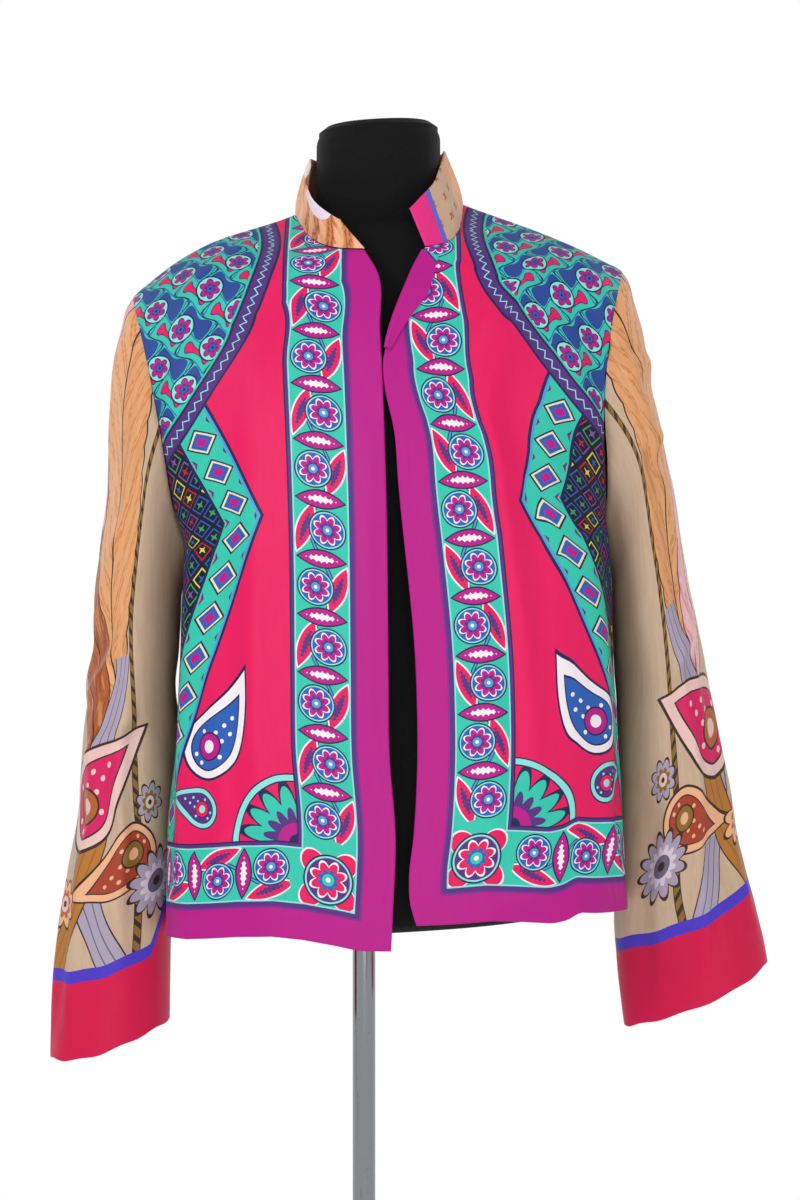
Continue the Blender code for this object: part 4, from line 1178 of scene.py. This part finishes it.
def leaf(ground, u, v, middle, turn, length, wide, colours, streak):
    """A long pointed leaf with a bent midrib and painted veins: outline, blade, dark and light."""
    du, dv = u - middle[0], v - middle[1]
    x = du * math.cos(turn) + dv * math.sin(turn)
    y = dv * math.cos(turn) - du * math.sin(turn)
    reach = y / (length / 2)
    aside = x - (1 - reach * reach) * (0.12 * wide)
    edge = abs(sine(y * (2 * math.pi / 0.044) + 0.6)) * 0.05
    inside = 1 - reach * reach - abs(aside) / wide + edge
    outline, blade, dark, light = colours
    ground = paint(ground, inside > 0.0, outline)
    veins = sine(y * 210.0 - abs(aside) * 330.0 + streak * 5.0)
    return lay(ground, inside > 0.045, (1.0, blade), (between(veins, 0.35, 0.92) * 0.75, dark),
               (between(streak, 0.56, 0.75) * 0.55, light), ((aside > 0.0) * 0.22, dark),
               (abs(aside) < 0.0011, outline))


def braid(ground, along, across, where):
    """A plaited cord of two strands with its outline."""
    lean = sine(along * (2 * math.pi / 0.0125) + across * 520.0)
    return lay(ground, where, (abs(across) < 0.0040, UMBER),
               ((abs(across) < 0.0031) * (lean > -0.30), GOLD))


def ribbon(ground, across, where, colours):
    """A folded ribbon with a dark outline and two inner lines."""
    outline, silk, line = colours
    return lay(ground, where, (across < 0.0135, outline), (across < 0.0122, silk),
               (across < 0.0048, line), (across < 0.0036, silk))


def sleeve_print(u, v, pleat, low_leaf):
    """Taupe ground with long leaves above, drop motifs and ribbons below, and the plain cuff."""
    tree = u.tree
    streak = noise(tree, add(tree, "CombineXYZ", ((0, u * 150.0), (1, v * 26.0))), 1.0, 4.0, 0.6)
    colour = paint(TAUPE, between(streak, 0.50, 1.0) * 0.30, srgb("d2bda3"))
    out = abs(u)
    colour = leaf(colour, out, v, (0.006, 0.500), -0.06, 0.350, 0.036,
                  (SIENNA, BLUSH, srgb("e3889c"), srgb("f3dfe0")), streak)
    colour = leaf(colour, out, v, (0.064, 0.480), 0.08, 0.420, 0.054,
                  (UMBER, TAN, srgb("c67f4b"), srgb("ecb78e")), streak)
    colour = leaf(colour, out, v, (0.030, 0.350), 0.30, 0.230, 0.030, low_leaf, streak)
    swing = sine(v * 13.0 + 0.4) * 0.005
    colour = braid(colour, v, out - 0.142 * (0.60 + v * 0.75) - swing, v > 0.05)
    low = between(v, 0.06, 0.330)
    colour = ribbon(colour, abs(out - 0.078 - sine(v * 15.0 + 2.1) * 0.030), low,
                    (UMBER, LILAC, srgb("6f6580")))
    colour = ribbon(colour, abs(out - 0.030 - sine(v * 19.0 + 4.2) * 0.026), between(v, 0.06, 0.20),
                    (UMBER, srgb("b9762f"), GOLD))
    colour = buta(colour, out, v, (0.054, 0.225), -0.62, 0.135, (UMBER, BLUSH, srgb("d81e62"), SIENNA))
    colour = buta(colour, out, v, (0.088, 0.150), 2.35, 0.092, (UMBER, PEACH, srgb("a8432c"), GOLD))
    colour = flower(colour, out - 0.020, v - 0.128, 0.0200, 8, (UMBER, PEACH, SIENNA, BLUSH))
    colour = flower(colour, out - 0.120, v - 0.126, 0.0270, 12,
                    (UMBER, LILAC, srgb("dccdd8"), srgb("6f6580")))
    colour = flower(colour, out - 0.124, v - 0.196, 0.0165, 8, (UMBER, LILAC, GOLD, BLUSH))
    rise = ((out - pleat) | 0.0) * 1.5 * (u > 0.0)
    colour = paint(colour, v - rise < CUFF_BAND + CUFF_STRIPE, IRIS)
    return paint(colour, v - rise < CUFF_BAND, srgb("d40c48"))


def sleeve_point(heights, tables, turn, z):
    outer, inner, half_depth, middle_y = (follow(heights, tables[name], z) for name in SleeveRow._fields[1:])
    x = (outer + inner) / 2 + (outer - inner) / 2 * np.cos(turn)
    return np.stack((x, middle_y - half_depth * np.sin(turn), z), axis=-1)


def sleeve_grid(side, rows, cuff, folds, turns, shares):
    """Skin of a sleeve: rings from the armhole to the cuff, a point at each turn."""
    heights = column(rows, "z")[::-1]
    tables = {name: column(rows, name)[::-1] for name in SleeveRow._fields[1:]}
    depths = [-ARMHOLE_FRONT if turn % (2 * math.pi) < math.pi else -ARMHOLE_BACK for turn in turns]
    start = np.array([armhole(side, turn % (2 * math.pi), depth) for turn, depth in zip(turns, depths)])
    end_z = (cuff[0] + cuff[1]) / 2 + (cuff[0] - cuff[1]) / 2 * np.cos(turns)
    end_z -= CUFF_DIP * np.sin(turns) ** 2 * (1 + 0.4 * np.cos(turns)) + CUFF_RIPPLE * np.sin(9 * turns + 1.0)
    length = start[:, 2] - end_z
    offset = start - sleeve_point(heights, tables, turns, start[:, 2])
    cap = CAP_TOP + (CAP_BOTTOM - CAP_TOP) * (1 - np.cos(turns)) / 2
    grid = []
    for share in shares:
        z = start[:, 2] - share * length
        ring = sleeve_point(heights, tables, turns, z)
        ring += offset * (np.maximum(0, 1 - share * length / cap) ** 2)[:, None]
        centre_x = (follow(heights, tables["outer"], z) + follow(heights, tables["inner"], z)) / 2
        for fold in folds:
            away = (turns / (2 * math.pi) - fold.turn + 0.5) % 1 - 0.5
            strength = np.exp(-(away / fold.run) ** 2 - ((z - fold.z) / fold.width) ** 2)
            towards = np.stack((centre_x - ring[:, 0], -ring[:, 1], 0 * z), axis=1)
            towards /= np.linalg.norm(towards, axis=1, keepdims=True)
            ring = ring + towards * (fold.depth * strength)[:, None]
        grid.append(ring)
    return np.array(grid)


def make_sleeve(name, node, side, rows, cuff, folds, creases, finish):
    turns = np.linspace(-math.pi, math.pi, SLEEVE_COLUMNS, endpoint=False)
    shares = 1 - edge_steps(SLEEVE_RINGS, 0.60)[::-1]
    grid = sleeve_grid(side, rows, cuff, folds, turns, shares)
    outward = skin_normals(grid, closed=True) * side.out
    ringed = np.concatenate((grid, grid[:, :1]), axis=1)
    u = running(np.linalg.norm(np.diff(ringed, axis=1), axis=2).T).T
    u = u - u[:, SLEEVE_COLUMNS // 2][:, None]
    down = running(np.linalg.norm(np.diff(ringed, axis=0), axis=2))
    v = down[-1][None, :] - down
    near = u[:, :-1], v[:, :-1]
    quiet = fade_in(down[:, :-1], 0.022)
    relief = crease_relief(*near, creases) * quiet + crumple(grid) * (0.35 + 0.9 * quiet)
    relief += seam_groove(down[:, :-1]) - rolled(near[1])
    relief += 0.0016 * np.exp(-((down[:, :-1] - 0.012) / 0.008) ** 2) * np.maximum(0, np.cos(turns))
    grid = grid + outward * relief[..., None]
    made = cloth_object(name, grid, u, v, near[1] < 0.020, True, finish, side.out < 0)
    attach(made, "root")
    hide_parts(node)


silk_right = silk_material("silk_sleeve_right", lambda u, v: sleeve_print(u, v, PLEAT_RIGHT, LOW_LEAF_RIGHT))
silk_left = silk_material("silk_sleeve_left", lambda u, v: sleeve_print(u, v, PLEAT_LEFT, LOW_LEAF_LEFT))
make_sleeve("jacket_sleeve_right", "sleeve_right", RIGHT, SLEEVE_RIGHT, CUFF_RIGHT, FOLDS_RIGHT,
            SLEEVE_CREASES_RIGHT, silk_right)
make_sleeve("jacket_sleeve_left", "sleeve_left", LEFT, SLEEVE_LEFT, CUFF_LEFT, FOLDS_LEFT,
            SLEEVE_CREASES_LEFT, silk_left)


# Collar: a low band, doubled and stiffened, that stands round the neck and leans out at both
# front ends. Peach silk on the wearer's right, taupe on the left with a rose end.

CollarRow = namedtuple("CollarRow", "share rise lean shift")
COLLAR = [CollarRow(*row) for row in (
    (0.000, 0.023, 0.002, 0.021), (0.060, 0.035, 0.003, 0.017), (0.130, 0.045, 0.006, 0.010),
    (0.220, 0.046, 0.013, 0.003), (0.320, 0.045, 0.014, 0.000), (0.500, 0.045, 0.010, 0.000),
    (0.680, 0.045, 0.012, 0.000), (0.800, 0.044, 0.013, 0.003), (0.900, 0.046, 0.008, 0.010),
    (0.970, 0.040, 0.003, 0.012), (1.000, 0.031, 0.001, 0.012))]
COLLAR_COLUMNS, COLLAR_ROWS = 150, 20
COLLAR_LENGTH = 0.4285

COLLAR_CREASES = [Crease(*row) for row in (
    (0.068, -0.006, 0.064, 0.05, 0.001, 0.0045, 0.0022), (0.11, 0.0, 0.104, 0.05, 0.002, 0.007, 0.001),
    (0.385, 0.0, 0.392, 0.048, 0.001, 0.006, 0.0016), (0.335, 0.0, 0.345, 0.05, 0.002, 0.008, 0.0012),
    (0.21, 0.004, 0.26, 0.04, 0.002, 0.009, 0.0008), (0.15, 0.03, 0.19, 0.006, 0.002, 0.009, 0.0007))]


def collar_print(u, v):
    tree = u.tree
    grain = noise(tree, add(tree, "CombineXYZ", ((0, u * 90.0), (1, v * 22.0 + u * 30.0))), 1.0, 4.0, 0.65)
    colour = paint(PEACH, between(grain, 0.52, 1.0) * 0.40, srgb("d98a55"))
    colour = paint(colour, between(grain, 0.30, 0.40) * 0.7, BLUSH)
    strands = sine(u * 330.0 + v * 210.0 + grain * 7.0)
    low = u < 0.066
    colour = paint(colour, low * between(strands, -0.2, 1.0) * 0.75, srgb("c9733a"))
    colour = paint(colour, low * between(strands, 0.55, 0.9) * 0.8, srgb("8c4a22"))
    patch = lens(u - 0.032, v - 0.0360, 0.0260, 0.0120)
    colour = paint(colour, patch > 0.0, srgb("efe0ee"))
    colour = paint(colour, between(u, 0.072, 0.110) * (v > 0.034), srgb("f3ded6"))
    later = u > 0.360
    colour = paint(colour, later, paint(TAUPE, grain * 0.4, PEACH))
    sprig = petals(local(u, 0.019), local(v + 0.010, 0.017), 0.0040, 4, 0.75)[0]
    colour = paint(colour, later * (sprig > 0.0), SIENNA)
    colour = paint(colour, u > COLLAR_LENGTH - 0.0215, srgb("6a62cf"))
    return paint(colour, u > COLLAR_LENGTH - 0.0160, srgb("ea2f86"))


line_shares = np.linspace(0, 1, 60)
quarters = [(EDGE_RIGHT, RIGHT, NECK_BOW_FRONT), (None, RIGHT, NECK_BOW_BACK),
            (None, LEFT, NECK_BOW_BACK), (EDGE_LEFT, LEFT, NECK_BOW_FRONT)]
lines = []
for rows, side, bow in quarters:
    corner = centre_point(rows, rows[-1].z if rows else BACK_NECK[1])
    lines.append(np.array([neckline(corner, side, bow, share) for share in line_shares]))
base = np.concatenate((lines[0], lines[1][::-1][1:], lines[2][1:], lines[3][::-1][1:]))
end = edge_steps(COLLAR_COLUMNS // 2, COLLAR_LENGTH / 2) / 2
base = resample(base, np.concatenate((end, 1 - end[::-1][1:])))
length = np.concatenate(([0.0], np.cumsum(np.linalg.norm(np.diff(base, axis=0), axis=1))))
share = length / length[-1]
rise, lean, shift = (follow(column(COLLAR, "share"), column(COLLAR, name), share)
                     for name in ("rise", "lean", "shift"))
towards = np.array((BACK_NECK[0], 0.0)) - base[:, :2]
towards /= np.linalg.norm(towards, axis=1, keepdims=True)
grid = []
for level in 1 - edge_steps(COLLAR_ROWS, 0.044)[::-1]:
    row = base.copy()
    row[:, 2] += 2 * SEAM + rise * level
    row[:, :2] += towards * (lean * level ** 1.3)[:, None]
    row[:, 0] -= shift * level
    grid.append(row)
grid = np.array(grid)
v = running(np.linalg.norm(np.diff(grid, axis=0), axis=2))
u = length[None, :] + 0 * v
ends = np.minimum(u, length[-1] - u)
relief = crease_relief(u, v, COLLAR_CREASES) * fade_in(v, 0.008) + 0.6 * crumple(grid)
relief -= rolled(v.max(axis=0)[None, :] - v) + rolled(ends)
grid = grid - skin_normals(grid) * relief[..., None]
collar_silk = silk_material("silk_collar", collar_print)
collar = cloth_object("stand_collar", grid, u, v, v > -1, False, collar_silk, True)
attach(collar, "root")
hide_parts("collar")
